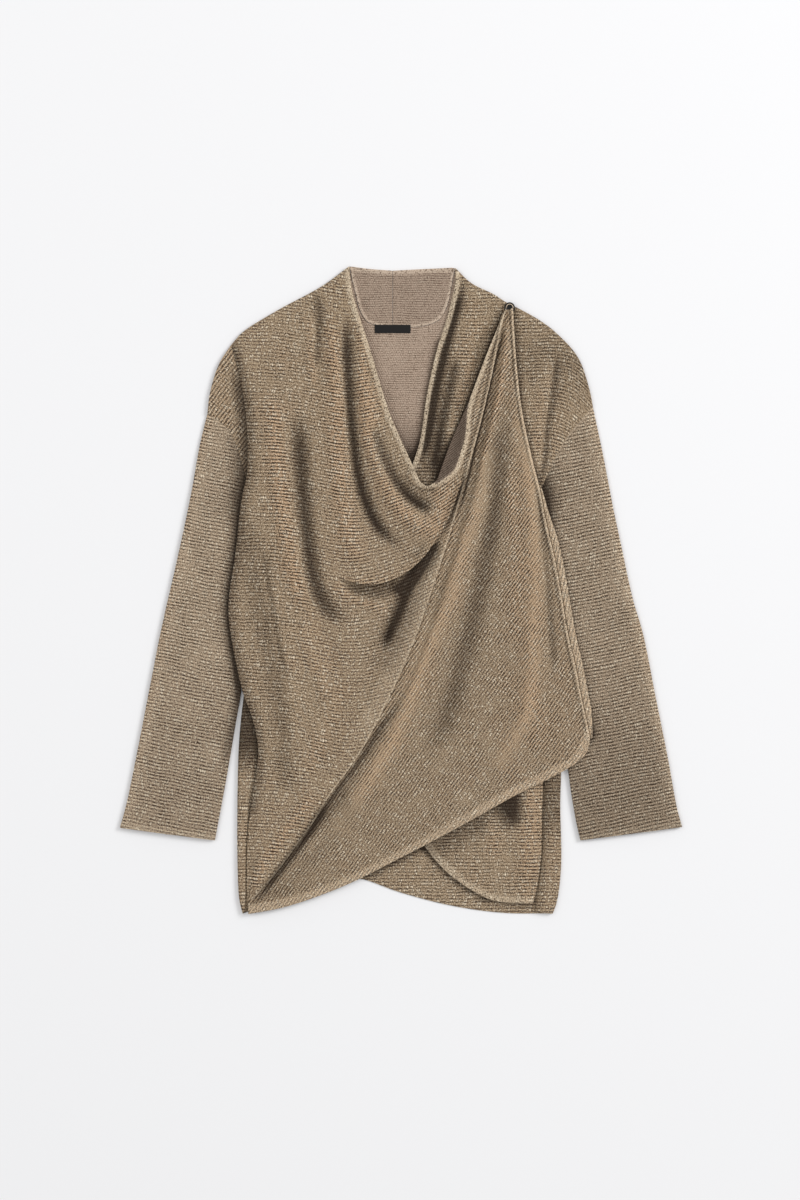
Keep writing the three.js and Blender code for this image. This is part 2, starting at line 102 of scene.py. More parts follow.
def joined(*stretches):
    return np.vstack([stretches[0], *(points[1:] for points in stretches[1:])])


armhole_right = stretch([(-232, 212), (-206, 191), (-193, 158), (-186, 134)], 5)
armhole_left = stretch([(230, 220), (204, 190), (194, 176), (176, 139), (167, 119)], 5)
print("armholes of", len(armhole_right), "points")

# %% [markdown]
# ## The outlines of the panels
# Each panel has four edges that meet at its corners. An edge may be made of several stretches, each
# with its own number of steps, where a seam, a fold edge or a corner begins.

# %% Outlines
SHOULDER_LEFT = [
    (65, 386), (84, 368), (112, 354), (124, 346), (138, 339), (165, 324), (185, 309), (212, 279),
  (226, 240), (230, 220),
]
shoulder_right = stretch(
    [(-62, 388), (-95, 364), (-150, 334), (-192, 307), (-217, 273), (-229, 236), (-232, 212)], 8
)
neck_seam_right = stretch([(-62, 388), (-56, 360), (-49, 334), (-40, 321), (-10, 314)], 6)
neck_seam_left = stretch([(-10, 314), (30, 317), (47, 325), (56, 342), (61, 365), (65, 386)], 6)
E_LINE = [
    (127, 341), (119, 308), (109, 258), (98, 210), (82, 150), (65, 88), (45, 23), (16, -61),
    (-4, -108), (-20, -141), (-49, -195), (-88, -250), (-106, -280), (-128, -310), (-152, -342),
    (-178, -371),
]
DRAPE = {
    "left": joined(
        stretch([(-62, 388), (-95, 364), (-150, 334), (-192, 307), (-203, 292)], 8),
        stretch([(-203, 292), (-193, 252), (-186, 210), (-184, 168), (-184, 140)], 6),
        stretch([
            (-184, 140), (-191, 107), (-198, 45), (-206, -10), (-206, -36), (-190, -120), (-177, -157),
            (-171, -191), (-173, -216), (-181, -266), (-184, -300), (-185, -376),
        ], 18),
    ),
    "top": joined(
        stretch([(-62, 388), (-59, 360), (-37, 288), (-13, 210), (10, 158), (23, 129)], 11),
        stretch([(23, 129), (32, 124), (43, 131)], 3),
        stretch([(43, 131), (61, 180), (78, 218), (91, 252), (104, 286), (127, 341)], 12),
    ),
    "right": stretch(E_LINE, 32),
    "bottom": stretch([(-185, -376), (-178, -371)], 26),
}
ARMHOLE_CORNER = {
    "left": armhole_right,
    "top": stretch([(-232, 212), (-229, 236), (-217, 273), (-194, 305)], 5),
    "right": stretch([(-194, 305), (-180, 250), (-173, 200), (-171, 160), (-176, 136)], 5),
    "bottom": stretch([(-186, 134), (-176, 136)], 5),
}
print("drape outlined")

# %% [markdown]
# ## The outlines of the cape, the left front and the back
# The back's outline runs round both armholes and the neck seam. Its two side turns come over to the
# front, each between an outer and an inner line.

# %% More outlines
CAPE = {
    "left": stretch([
        (122, 334), (109, 294), (90, 216), (58, 120), (30, 36), (-2, -48), (-35, -120), (-67, -192),
        (-103, -252), (-133, -281), (-147, -295), (-174, -336), (-182, -368), (-183, -388),
    ], 22),
    "top": stretch([(122, 334), (134, 337)], 13),
    "right": stretch([
        (134, 337), (137, 288), (143, 226), (152, 178), (160, 144), (167, 117), (171, 94), (177, 67),
        (184, 37), (192, -6), (200, -53), (209, -92), (218, -139), (224, -165), (226, -178),
    ], 22),
    "bottom": stretch([
        (-183, -388), (-141, -380), (-95, -365), (-52, -347), (-3, -322), (43, -298), (89, -273),
        (135, -247), (175, -227), (211, -206), (224, -191), (226, -178),
    ], 13),
}
LEFT_FRONT = {
    "left": joined(
        stretch([(65, 386), (65, 370), (55, 326), (43, 288), (31, 234), (22, 176), (11, 144)], 9),
        stretch([(11, 144), (1, 36), (-1, -132), (11, -252), (28, -307)], 8),
    ),
    "top": stretch(SHOULDER_LEFT, 13),
    "right": joined(
        armhole_left,
        stretch([
            (167, 119), (168, 36), (173, -132), (170, -233), (169, -270), (168, -316), (164, -350),
            (158, -376),
        ], 12),
    ),
    "bottom": stretch([
        (28, -307), (37, -319), (58, -341), (83, -359), (104, -370), (120, -374), (158, -376),
    ], 13),
}
SIDE_RIGHT = [(-188, -120), (-194, -178), (-196, -240), (-196, -331), (-194, -371), (-190, -388)]
SIDE_LEFT = [(186, -72), (192, -215), (191, -256), (192, -331), (187, -374), (182, -388)]
BACK = {
    "left": joined(
        armhole_right,
        stretch([(-186, 134), (-185, 108), (-186, -12), *SIDE_RIGHT], 9),
    ),
    "top": joined(shoulder_right[::-1], neck_seam_right, neck_seam_left, stretch(SHOULDER_LEFT, 9)),
    "right": joined(
        armhole_left,
        stretch([(167, 119), (176, 36), *SIDE_LEFT], 9),
    ),
    "bottom": stretch([
        (-190, -388), (-139, -372), (-95, -353), (-67, -346), (-46, -347), (-3, -362), (58, -378),
        (120, -387), (182, -388),
    ], 29),
}
RETURN_RIGHT = {
    "outer": stretch(SIDE_RIGHT, 10),
    "inner": stretch([
        (-176, -120), (-166, -170), (-168, -225), (-182, -268), (-185.5, -300), (-186.5, -380),
    ], 10),
}
RETURN_LEFT = {
    "outer": stretch([(178, 20), *SIDE_LEFT], 10),
    "inner": stretch([
        (171, 20), (175, -72), (175, -132), (172, -233), (171, -270), (170, -316), (166, -350), (161, -386),
    ], 10),
}
print("body panels outlined")

# %% [markdown]
# ## The outlines of the sleeves
# A sleeve's top is the armhole of the body, moved out by a small gap for the seam.

# %% Sleeve outlines
SLEEVE_RIGHT = {
    "top": armhole_right + (-0.5, -0.25),
    "left": stretch([
        (-232, 212), (-241, 175), (-250, 124), (-258, 84), (-268, 38), (-288, -50), (-301, -116),
        (-316, -193), (-329, -256), (-337, -285),
    ], 14),
    "right": stretch([
        (-186, 134), (-190, 36), (-190, -60), (-191, -116), (-199, -166), (-210, -230), (-223, -300),
    ], 14),
    "bottom": stretch([(-337, -285), (-223, -300)], 5),
}
SLEEVE_LEFT = {
    "top": armhole_left + (0.5, -0.25),
    "left": stretch([
        (230, 220), (243, 158), (254, 100), (263, 58), (278, -11), (290, -52), (305, -127), (320, -202),
        (331, -262), (337, -284),
    ], 14),
    "right": stretch([
        (167, 119), (180, 36), (189, -72), (195, -132), (200, -213), (209, -273), (215, -300),
    ], 14),
    "bottom": stretch([(337, -284), (215, -300)], 5),
}
print("sleeves outlined")

# %% [markdown]
# ## A grid between four edges
# A Coons patch fills the space between four edges: it adds the blend from left to right to the one
# from top to bottom and takes away the part that was counted twice. Extra lines are put close to
# the borders, because there the cloth's edge has to turn over within a millimetre.

# %% Grids
RIM_STEPS = (0.05, 0.2, 0.5)
RIM_HEIGHTS = (0.25, 0.62, 0.86, 0.97)


def fractions(count):
    """Places from 0 to 1 in even steps, with a few more beside both ends."""
    close = np.array(RIM_STEPS) / count
    return np.concatenate([[0], close, np.linspace(0, 1, count + 1)[1:-1], 1 - close[::-1], [1]])


def at(line, fraction):
    """Points at fractions of a line's steps."""
    steps = fraction * (len(line) - 1)
    return np.column_stack([np.interp(steps, np.arange(len(line)), line[:, k]) for k in range(2)])


def between(edges, u, v):
    """Plan positions between four edges, at fractions of a panel's width and length."""
    top, bottom = at(edges["top"], u)[None], at(edges["bottom"], u)[None]
    left, right = at(edges["left"], v)[:, None], at(edges["right"], v)[:, None]
    s, t = u[None, :, None], v[:, None, None]
    plan = (1 - t) * top + t * bottom + (1 - s) * left + s * right
    for edge, share in ((edges["top"], 1 - t), (edges["bottom"], t)):
        plan -= share * ((1 - s) * edge[0] + s * edge[-1])
    return plan


def patch(edges, across, down):
    """Plan positions as rows by columns, and the fraction of each column and row."""
    u, v = fractions(across), fractions(down)
    plan = between(edges, u, v)
    return plan[..., 0], plan[..., 1], u, v


print("grid helpers ready")

# %% [markdown]
# ## An even grid for a panel with a notch
# The blend folds over itself where an edge has a deep notch, as the cowl has. We relax the grid by
# Winslow's equations, first on a coarse grid and then on finer ones, and its cells come apart.

# %% Even grids
# Share of the final number of cells, and rounds of relaxing on that grid
RELAXING = ((0.25, 1500), (0.5, 600), (1, 200))


def taken(grid, u, v):
    """Positions at fractions of a grid's width and length."""
    row, column = v * (grid.shape[0] - 1), u * (grid.shape[1] - 1)
    i = np.minimum(row.astype(int), grid.shape[0] - 2)
    j = np.minimum(column.astype(int), grid.shape[1] - 2)
    f, g = (row - i)[:, None, None], (column - j)[None, :, None]
    upper = grid[i][:, j] * (1 - g) + grid[i][:, j + 1] * g
    lower = grid[i + 1][:, j] * (1 - g) + grid[i + 1][:, j + 1] * g
    return upper * (1 - f) + lower * f


def even_patch(edges, across, down):
    """Like patch, with its grid relaxed for a fixed number of rounds on ever finer grids."""
    grid = None
    for share, rounds in RELAXING:
        s, t = np.linspace(0, 1, round(across * share) + 1), np.linspace(0, 1, round(down * share) + 1)
        plan = between(edges, s, t)
        if grid is not None:
            plan[1:-1, 1:-1] = taken(grid, s, t)[1:-1, 1:-1]
        grid = plan
        for _ in range(rounds):
            du = (grid[1:-1, 2:] - grid[1:-1, :-2]) / 2
            dv = (grid[2:, 1:-1] - grid[:-2, 1:-1]) / 2
            uu, uv, vv = (np.sum(a * b, axis=-1, keepdims=True) for a, b in ((du, du), (du, dv), (dv, dv)))
            twist = (grid[2:, 2:] - grid[2:, :-2] - grid[:-2, 2:] + grid[:-2, :-2]) / 2
            beside = grid[1:-1, 2:] + grid[1:-1, :-2]
            along = grid[2:, 1:-1] + grid[:-2, 1:-1]
            grid[1:-1, 1:-1] = (vv * beside + uu * along - uv * twist) / (2 * (uu + vv))
    u, v = fractions(across), fractions(down)
    plan = taken(grid, u, v)
    return plan[..., 0], plan[..., 1], u, v


def rim(count):
    """How much of its thickness a shell has at each line, from its rounded border inwards."""
    full = np.ones(count)
    ends = len(RIM_HEIGHTS)
    full[:ends] = RIM_HEIGHTS
    full[-ends:] = RIM_HEIGHTS[::-1]
    return full


print("rim lines on each border:", len(RIM_HEIGHTS))

# %% [markdown]
# ## Folds
# A fold is a soft ridge or trough along a line. Its section is a bell curve, and it fades out at
# both ends. The table also says how much light is painted on the fold: a warm tan painted highlight
# on the ridges and painted shade in the troughs.

# %% Fold fields


def ramp(t):
    """A soft step from 0 to 1."""
    t = np.clip(t, 0, 1)
    return t * t * (3 - 2 * t)


def nearest(line, x, y):
    """Distance to a line of points, how far along it that is, and whether it lies to the line's left."""
    best = np.full(x.shape, np.inf)
    along = np.zeros(x.shape)
    left = np.zeros(x.shape, dtype=bool)
    for i, (a, b) in enumerate(zip(line, line[1:])):
        way = b - a
        from_x, from_y = x - a[0], y - a[1]
        t = np.clip((from_x * way[0] + from_y * way[1]) / (way @ way), 0, 1)
        gap = np.hypot(from_x - t * way[0], from_y - t * way[1])
        closer = gap < best
        best = np.where(closer, gap, best)
        along = np.where(closer, (i + t) / (len(line) - 1), along)
        left = np.where(closer, way[0] * from_y > way[1] * from_x, left)
    return best, along, left


def fold_field(folds):
    """A function that gives the height and the painted light and shade that the folds add at each place."""
    lines = [(rise, reach, tint, smooth_line(path, 24)) for rise, reach, tint, path in folds]

    def field(x, y):
        height, colour = np.zeros(x.shape), np.zeros(x.shape)
        for rise, reach, tint, line in lines:
            gap, along, left = nearest(line, x, y)
            reach_left, reach_right = reach if isinstance(reach, tuple) else (reach, reach)
            tint_left, tint_right = tint if isinstance(tint, tuple) else (tint, tint)
            bell = np.exp(-((gap / np.where(left, reach_left, reach_right)) ** 2))
            bell *= ramp(along / 0.16) * ramp((1 - along) / 0.16)
            height += rise * bell
            colour += np.where(left, tint_left, tint_right) * bell
        return height, colour

    return field


print("fold helpers ready")

# %% [markdown]
# ## The drape's folds
# Long soft folds hang from the right shoulder into the cowl, and its cloth folds over at the waist.
# Each row says how far the cloth rises, how far to each side that reaches, its painted light, and the line.
# A pair gives the side to the left of the line, as one goes along it, and then the side to the right.

# %% Drape folds
# The cowl's neck edge, from the lowest point of the neck up to the button
COWL_EDGE = [
    (14, 137), (22, 128.4), (33, 126.5), (44.4, 128.4), (56, 136), (63.6, 144), (70.8, 163),
    (76.8, 187), (79.2, 216), (84, 234), (92, 256), (106, 297), (127, 341),
]
# The lower edge of the swag, where the cowl's cloth folds over what is below it
SWAG_EDGE = [
    (-84, 18), (-67, 12), (-43, 6.6), (-25, 7.8), (-11, 12), (5, 20), (19, 31), (31, 44), (41, 59),
    (51, 77), (60, 96.6), (67, 114), (74, 134),
]

drape_folds = fold_field([
    (-2.5, 8, -0.3, [(-100, 358), (-96, 302), (-93, 235)]),
    (3.5, 12, 1.2, [(-84, 340), (-82, 288), (-76, 228), (-72, 120), (-56, 50), (-30, 26)]),
    (-7, (7, 6), -1.9, [(-66, 335), (-66, 300), (-64, 252), (-58, 180), (-46, 114), (-24, 70), (5, 46)]),
    (2, 6, 1.2, [(-50, 340), (-46, 290), (-46, 240), (-42, 200), (-36, 160)]),
    (6, 12, 1.3, [(-41, 262), (-35, 185), (-20, 134), (-4, 101), (22, 76), (47, 67)]),
    (-5, (8, 7), -2.0, [(-38, 205), (-25, 165), (-8, 131), (16, 106), (44, 92)]),
    (-5, 9, -1.5, [(-125, 215), (-121, 165), (-115, 84), (-103, 8), (-88, -24), (-62, -44)]),
    (4, 11, 1.2, [(-156, 245), (-149, 151), (-138, 70), (-124, 0), (-108, -31)]),
    (-6, 9, -0.9, [(-70, 6), (-43, -2), (-25, 0), (-8, 6), (8, 17), (22, 31), (34, 46), (44, 62)]),
    (-6, (5, 7), -1.7, [(-14, -2), (4, 5), (15, 13), (25, 28), (34, 46), (42, 62)]),
    (-6, (7, 9), -1.6, [(34, 62), (22, 30), (10, 4), (0, -22), (-12, -50), (-24, -76)]),
    (-1, 16, -0.4, [(14, 10), (-4, -50), (-26, -105)]),
    (1, 9, 2.2, [(66, 176), (56, 140), (50, 108), (43, 76), (34, 48)]),
    (4, 9, 0.0, [(62, 80), (46, 40), (32, 0), (12, -48), (-10, -95), (-45, -150)]),
    (7.5, (6, 11), (-0.2, 0.3), COWL_EDGE),
    (-3, 14, 0.2, [(-110, -6), (-95, -55), (-71, -102)]),
    (2.5, 12, 0.1, [(-159, 18), (-138, -80), (-134, -209), (-150, -290)]),
    (-4, (3, 5), -0.7, [(-101, 362), (-99, 342), (-97, 323), (-100, 290), (-102, 262)]),
    (2.5, 5, 0.7, [(-111, 330), (-109, 300), (-107, 270), (-106, 240)]),
    (-3, (6, 4), -0.6, [(-170, 55), (-160, 15), (-155, -10), (-149, -42), (-142, -82), (-128, -125)]),
    (2, 3.5, 0.4, [(-163, 40), (-153, -2), (-148, -36), (-141, -72), (-133, -108), (-124, -128)]),
    (-3, 13, -0.45, [(-192, 110), (-180, 20), (-166, -50), (-152, -115), (-140, -190), (-136, -270)]),
    (2, 6, 0.7, [(-84, 10), (-60, -10), (-36, -18), (-12, -26)]),
    (-0.5, (3, 4.5), (-0.4, -1.5), [(28, 38), (38, 51), (48, 68), (57, 86), (66, 107), (73, 127), (80, 150)]),
    (2, 8, 0.3, [(-120, -40), (-104, -90), (-86, -140)]),
    (-2.5, 9, 0.3, [(-60, -100), (-84, -160), (-112, -230)]),
    (2.5, 6, 1.0, [(-98, -240), (-114, -258), (-131, -280), (-150, -306), (-170, -338), (-182, -366)]),
    (-1, (7, 3), -1.2, [(-80, -246), (-94, -260), (-110, -284), (-130, -312), (-153, -342), (-185, -385)]),
])
print("drape folds ready")

# %% [markdown]
# ## The folds of the cape and the left front
# The cape hangs in long ridges down from the button. The two strongest also get a smooth tan
# painted highlight, so their lines have names.

# %% Cape and left front folds
TAN_RIDGE = [(107, 160), (93, 105), (74, 50), (58, -10), (36, -59), (19, -102), (-4, -168), (-75, -285)]
SIDE_RIDGE = [(144, 200), (153, 130), (158, 60), (160, 0), (157, -60), (156, -100), (150, -150), (119, -205)]
cape_folds = fold_field([
    (5, 13, 0.75, TAN_RIDGE),
    (-1.5, 8, -0.3, [(137, 228), (125, 156), (116, 108), (104, 36)]),
    (-2.8, 8, -0.6, [(-84, -252), (-113, -286), (-150, -325), (-174, -365)]),
    (2.5, 8, 0.4, [(-68, -258), (-98, -295), (-132, -333), (-162, -368)]),
    (4.5, 12, 0.6, SIDE_RIDGE),
    (-1, 12, -0.8, [(122, 230), (114, 120), (98, 20), (78, -70), (56, -150), (30, -210)]),
    (0, 18, -0.5, [(-50, -235), (-110, -305), (-165, -372)]),
    (2, 11, 0.5, [(126, 150), (134, 80), (138, 0), (136, -70)]),
    (-2, 5, -0.9, [(160, 132), (166, 90), (172, 40), (176, 0), (179, -40), (182, -80), (182, -115)]),
    (1.5, 9, 0.5, [(168, -130), (164, -165), (160, -195)]),
    (-3, (3, 5), -0.5, [
        (126, 300), (109, 236), (94, 158), (77, 92), (57, 24), (29, -60), (9, -112), (-33, -188),
        (-83, -262), (-128, -300),
    ]),
    (-2, (3, 4), -1.3, [
        (6, -130), (-20, -158), (-46, -200), (-86, -254), (-104, -284), (-126, -314), (-150, -345),
        (-188, -392),
    ]),
    (2.5, 4, 0.5, [(129, 330), (121, 269), (112, 206), (100, 161), (88, 120)]),
    (-1, (2, 1.6), -1.9, [(125, 325), (120, 300), (110, 260), (99, 212), (90, 176), (80, 132), (66, 80)]),
    (1.5, 3, 0.5, [(129, 302), (123, 262), (115, 226), (103, 180), (92, 140)]),
    (2, 6, 0.3, [(136, 250), (134, 200), (130, 140), (128, 80)]),
])
left_front_folds = fold_field([
    (2.5, 12, 0.3, [(88, 340), (83, 312), (65, 228), (47, 168)]),
    (2.5, 10, 0.3, [(176, 285), (170, 235), (163, 190), (157, 130)]),
    (2.5, 12, 0.5, [(150, -235), (153, -290), (150, -350)]),
    (-1, (5, 12), -1.9, [(73, 378), (72, 354), (62, 316), (50, 270), (40, 226), (31, 180), (22, 144)]),
    (-1, 7, -1.5, [(68, 285), (60, 248), (50, 200), (41, 154), (34, 130)]),
    (1.5, 6, 0.5, [(88, 290), (80, 250), (66, 200), (56, 170)]),
    (-2, (5, 3), -1.0, [(189, 290), (186, 269), (182, 235), (175, 193), (172, 156), (167, 122)]),
    (-3, 13, -1.5, [(112, -200), (122, -232), (130, -256), (142, -288)]),
    (1.5, 9, 0.5, [(104, -262), (110, -290), (112, -330)]),
])
print("folds ready")

# %% [markdown]
# ## Which layer lies on which
# The layers lie on each other, so each one's lower face is worked out from the one below. The levels
# of the panels are those of their solids, in millimetres above the floor. The gap between two layers
# is a little smaller here.

# %% Levels
CLOTH = 1.5
HEM = 2.5
GAP = 0.5
FRONT_LEVEL = 2.2
CAPE_LEVEL = 5.2
DRAPE_LEVEL = 6.1
BUTTON_AT = (130, 338)
BUTTON_RADIUS = 6.5
BUTTON_TOP = 6.7
SLEEVE_HEIGHT = 5.4
OVER_SLEEVE = 1.6
DRAPE_ON_CAPE = 1.8
SIDE_REACH = 14
EARLY = 14
TURN_DOWN = 0.985
# Height of the drape's lower face along its armhole side, as places in y and heights
DRAPE_SIDE = [
    (388, 2.2), (305, 2.2), (292, 3.1), (150, 3.1), (138, 4.7), (100, 5.4), (60, 6), (-240, 6),
    (-262, 4.4), (-285, 2.2), (-389, 2.2),
]


def past(line, x, y):
    """0 to the left of a line that runs down a panel, and 1 from a little before it on."""
    return ramp((x - np.interp(-y, -line[:, 1], line[:, 0]) + EARLY) / 8)


def near_button(x, y, margin, soft):
    """1 over the button and close around it, fading to 0."""
    return ramp((BUTTON_RADIUS + margin - np.hypot(x - BUTTON_AT[0], y - BUTTON_AT[1])) / soft)


print("levels ready")

# %% [markdown]
# ## The lower face of each panel
# A cloth simulation could lay the panels on each other, but the photograph shows where every fold
# lies. So each panel has its own level plus its folds, lifted wherever the layer below is higher.

# %% Lower faces


def left_front_low(x, y):
    height, tint = left_front_folds(x, y)
    return np.maximum(FRONT_LEVEL + height, CLOTH + GAP), tint


def cape_low(x, y):
    height, tint = cape_folds(x, y)
    own = CAPE_LEVEL + OVER_SLEEVE * ramp((x - 160) / 14) + height
    own = np.maximum(own, near_button(x, y, 6, 4) * (BUTTON_TOP + 0.2))
    return np.maximum(own, left_front_low(x, y)[0] + CLOTH + GAP), tint


def drape_body(x, y):
    """The drape away from its sides, clear of the button, the cape and the left front."""
    height, tint = drape_folds(x, y)
    own = DRAPE_LEVEL + DRAPE_ON_CAPE * ramp((x + 60) / 60) + height
    clear = np.full(x.shape, CLOTH + GAP)
    on_front = left_front_low(x, y)[0] + HEM + GAP
    on_cape = cape_low(x, y)[0] + CLOTH + GAP
    clear += past(LEFT_FRONT["left"], x, y) * (on_front - clear)
    clear += past(CAPE["left"], x, y) * ramp((342 - y) / 6) * (on_cape - clear)
    clear = np.maximum(clear, near_button(x, y, 8, 6) * (BUTTON_TOP + GAP))
    return np.maximum(own, clear), tint


def drape_low(x, y, column):
    """The drape comes down to its armhole side, and to the cape along its fold edge."""
    low, tint = drape_body(x, y)
    side = np.interp(-y[:, 0], [-row[0] for row in DRAPE_SIDE], [row[1] for row in DRAPE_SIDE])
    from_side = ramp(np.abs(x - x[:, :1]) / SIDE_REACH)
    low = side[:, None] + from_side * (low - side[:, None])
    to_edge = ramp((column[None] - TURN_DOWN) / 0.015) * (y < 332)
    return low + to_edge * (np.minimum(cape_low(x, y)[0] + CLOTH, low) - low), tint


print("lower faces ready")

# %% [markdown]
# ## Meshes from numbers
# A mesh is a list of vertices and a list of faces. We also store where each vertex lies in the knit,
# as a UV map in metres, and its painted light and shade and its hem, as attributes the shader reads.

# %% Mesh helpers


def new_object(name, vertices, faces, *materials):
    mesh = bpy.data.meshes.new(name)
    mesh.from_pydata((np.asarray(vertices) * MM).tolist(), [], [tuple(map(int, f)) for f in faces])
    mesh.polygons.foreach_set("use_smooth", [True] * len(mesh.polygons))
    for material in materials:
        mesh.materials.append(material)
    piece = bpy.data.objects.new(name, mesh)
    bpy.context.scene.collection.objects.link(piece)
    print(name, len(mesh.polygons), "faces")
    return piece


def knit_data(piece, grain, **values):
    """The knit's own coordinates as a UV map, and one attribute for each named value."""
    mesh = piece.data
    corner = np.empty(len(mesh.loops), dtype=int)
    mesh.loops.foreach_get("vertex_index", corner)
    mesh.uv_layers.new(name="grain").data.foreach_set("uv", (grain[corner] * MM).ravel())
    for key, value in values.items():
        mesh.attributes.new(key, "FLOAT", "POINT").data.foreach_set("value", value)


print("mesh helpers ready")

# %% [markdown]
# ## Shells of cloth
# A Solidify modifier could thicken a sheet, but its borders stay square. Our shell is a stack of
# rings: each goes out along the cloth's lower face, rounds its border and comes back along its upper
# face. The first and last rings are closed with a strip of faces.

# %% Shells


def ring_faces(rings, count, closed=False):
    """Faces between rings of the same number of points, as rows of four vertex numbers."""
    i = np.arange(rings if closed else rings - 1)[:, None]
    j = np.arange(count)[None]
    a, b = i * count + j, i * count + (j + 1) % count
    below = count * ((i + 1) % rings) - i * count
    return np.stack([a, b, b + below, a + below], axis=-1).reshape(-1, 4)


def capped(rings, count):
    """Faces between rings, with one more face on each end."""
    last = rings * count
    ends = [tuple(range(count - 1, -1, -1)), tuple(range(last - count, last))]
    return [*ring_faces(rings, count), *ends]


def shell_faces(rows, columns):
    """Faces between rings that go out over the columns and back, with a strip on both ends."""
    count = 2 * columns
    j = np.arange(columns - 1)
    strip = np.stack([j, j + 1, count - 2 - j, count - 1 - j], axis=-1)
    return np.vstack([ring_faces(rows, count), strip[:, ::-1], strip + (rows - 1) * count])


def out_and_back(grid):
    """A value for each vertex of a shell's rings, from one for each place of its grid."""
    return np.concatenate([grid, grid[:, ::-1]], axis=1).reshape(-1, *grid.shape[2:])


def shell_mesh(x, y, low, wall, grain, tint, hem):
    """Vertices, faces, grain, painted light and hem of a closed shell over a grid."""
    rows, columns = x.shape
    wall = np.broadcast_to(wall, x.shape)
    full = rim(columns)[None] * rim(rows)[:, None]
    lower = np.stack([x, y, low + wall * (1 - full) / 2], axis=-1)
    upper = np.stack([x, y, low + wall * (1 + full) / 2], axis=-1)
    points = np.concatenate([lower, upper[:, ::-1]], axis=1).reshape(-1, 3)
    return points, shell_faces(rows, columns), *(out_and_back(v) for v in (grain, tint, hem))


def merged(*parts):
    """Several sets of vertices, faces, grain, painted light and hem as one."""
    start = np.cumsum([0, *(len(part[0]) for part in parts)])
    faces = np.vstack([part[1] + first for part, first in zip(parts, start)])
    points, grain, tint, hem = (np.concatenate([part[k] for part in parts]) for k in (0, 2, 3, 4))
    return points, faces, grain, tint, hem


def knit_piece(name, data, *materials):
    points, faces, grain, tint, hem = data
    piece = new_object(name, points, faces, *materials)
    knit_data(piece, grain, tint=tint, hem=hem)
    return piece


def turned(x, y, degrees):
    """Knit coordinates whose rows run at an angle to the picture's horizontal."""
    c, s = math.cos(math.radians(degrees)), math.sin(math.radians(degrees))
    return np.stack([x * c + y * s, y * c - x * s], axis=-1)


def band(line, x, y, width, soft=1.5):
    """1 within a width of a line, and 0 beyond it."""
    return ramp((width - nearest(line[::4], x, y)[0]) / soft + 0.5)


def directions(line):
    """The way that a line runs at each of its points."""
    way = np.gradient(line, axis=0)
    return way / np.linalg.norm(way, axis=1)[:, None]


def closeness(line, x, y, reach, step=4):
    """1 on a line, fading softly to 0 on both sides of it."""
    return np.exp(-((nearest(line[::step], x, y)[0] / reach) ** 2))


print("shell helpers ready")

# %% [markdown]
# ## The knit as a shader
# Shader nodes are easier to read as arithmetic. This small class wraps a socket, so that plus, minus
# and times add Math nodes, and `node` adds any other node.

# %% Shader helpers


class Shade:
    """A value in a material's node tree, with arithmetic that adds Math nodes."""

    def __init__(self, tree, socket):
        self.tree = tree
        self.socket = socket

    def node(self, kind, settings=(), out=0, **sockets):
        return add_node(self.tree, kind, settings, out, **sockets)

    def math(self, operation, *others):
        values = dict(zip(("i0", "i1", "i2"), (self, *others)))
        return self.node("ShaderNodeMath", {"operation": operation}, **values)

    def __add__(self, other):
        return self.math("ADD", other)

    def __mul__(self, other):
        return self.math("MULTIPLY", other)

    def __sub__(self, other):
        return self.math("SUBTRACT", other)

    def __rsub__(self, other):
        return self.math("MULTIPLY", -1) + other

    __radd__ = __add__
    __rmul__ = __mul__


def add_node(tree, kind, settings=(), out=0, **sockets):
    """A node with its settings first and then its sockets, by name or as i0, i1 by number."""
    node = tree.nodes.new(kind)
    for key, value in dict(settings).items():
        setattr(node, key, value)
    for key, value in sockets.items():
        numbered = key[0] == "i" and key[1:].isdigit()
        socket = node.inputs[int(key[1:]) if numbered else key.replace("_", " ")]
        if isinstance(value, Shade):
            tree.links.new(value.socket, socket)
        else:
            socket.default_value = value
    return Shade(tree, node.outputs[out])


def mix_colour(tree, factor, a, b, blend="MIX"):
    settings = {"data_type": "RGBA", "blend_type": blend}
    return add_node(tree, "ShaderNodeMix", settings, 2, i0=factor, i6=a, i7=b)


def clamped(value):
    return value.math("MAXIMUM", 0).math("MINIMUM", 1)


def linear(red, green, blue):
    """A colour on screen, 0 to 255, as Blender's linear light."""
    channels = [c / 255 for c in (red, green, blue)]
    return (*(c / 12.92 if c <= 0.04045 else ((c + 0.055) / 1.055) ** 2.4 for c in channels), 1)


def new_material(name):
    material = bpy.data.materials.new(name)
    material.use_nodes = True
    material.node_tree.nodes.clear()
    return material, material.node_tree


def finish_material(tree, **sockets):
    shader = add_node(tree, "ShaderNodeBsdfPrincipled", **sockets)
    output = tree.nodes.new("ShaderNodeOutputMaterial")
    tree.links.new(shader.socket, output.inputs["Surface"])


print("shader helpers ready")

# %% [markdown]
# ## Rows, stitches and flecks
# The knit is a fine jersey with rows 4 mm apart. Between two rows there is a thin dark dash for each
# stitch, and the yarn is twisted from several colours, so every stitch takes its own tone. On the
# tan ridges and in the dark troughs the dashes are strong, and on the flat cloth they are faint.
# Three attributes steer this. Painted light above zero paints a warm tan highlight, and below zero
# painted shade that darkens the yarn. The hem value makes the cloth smoother and paler, or its rows
# stronger where it is below zero; along the drape's fold edge that paler line is a painted highlight.
# Smooth weakens rows and flecks on the cape's two highlighted ridges, as part of their highlight.

# %% Knit materials
STITCH = 0.0026
ROW = 0.0040


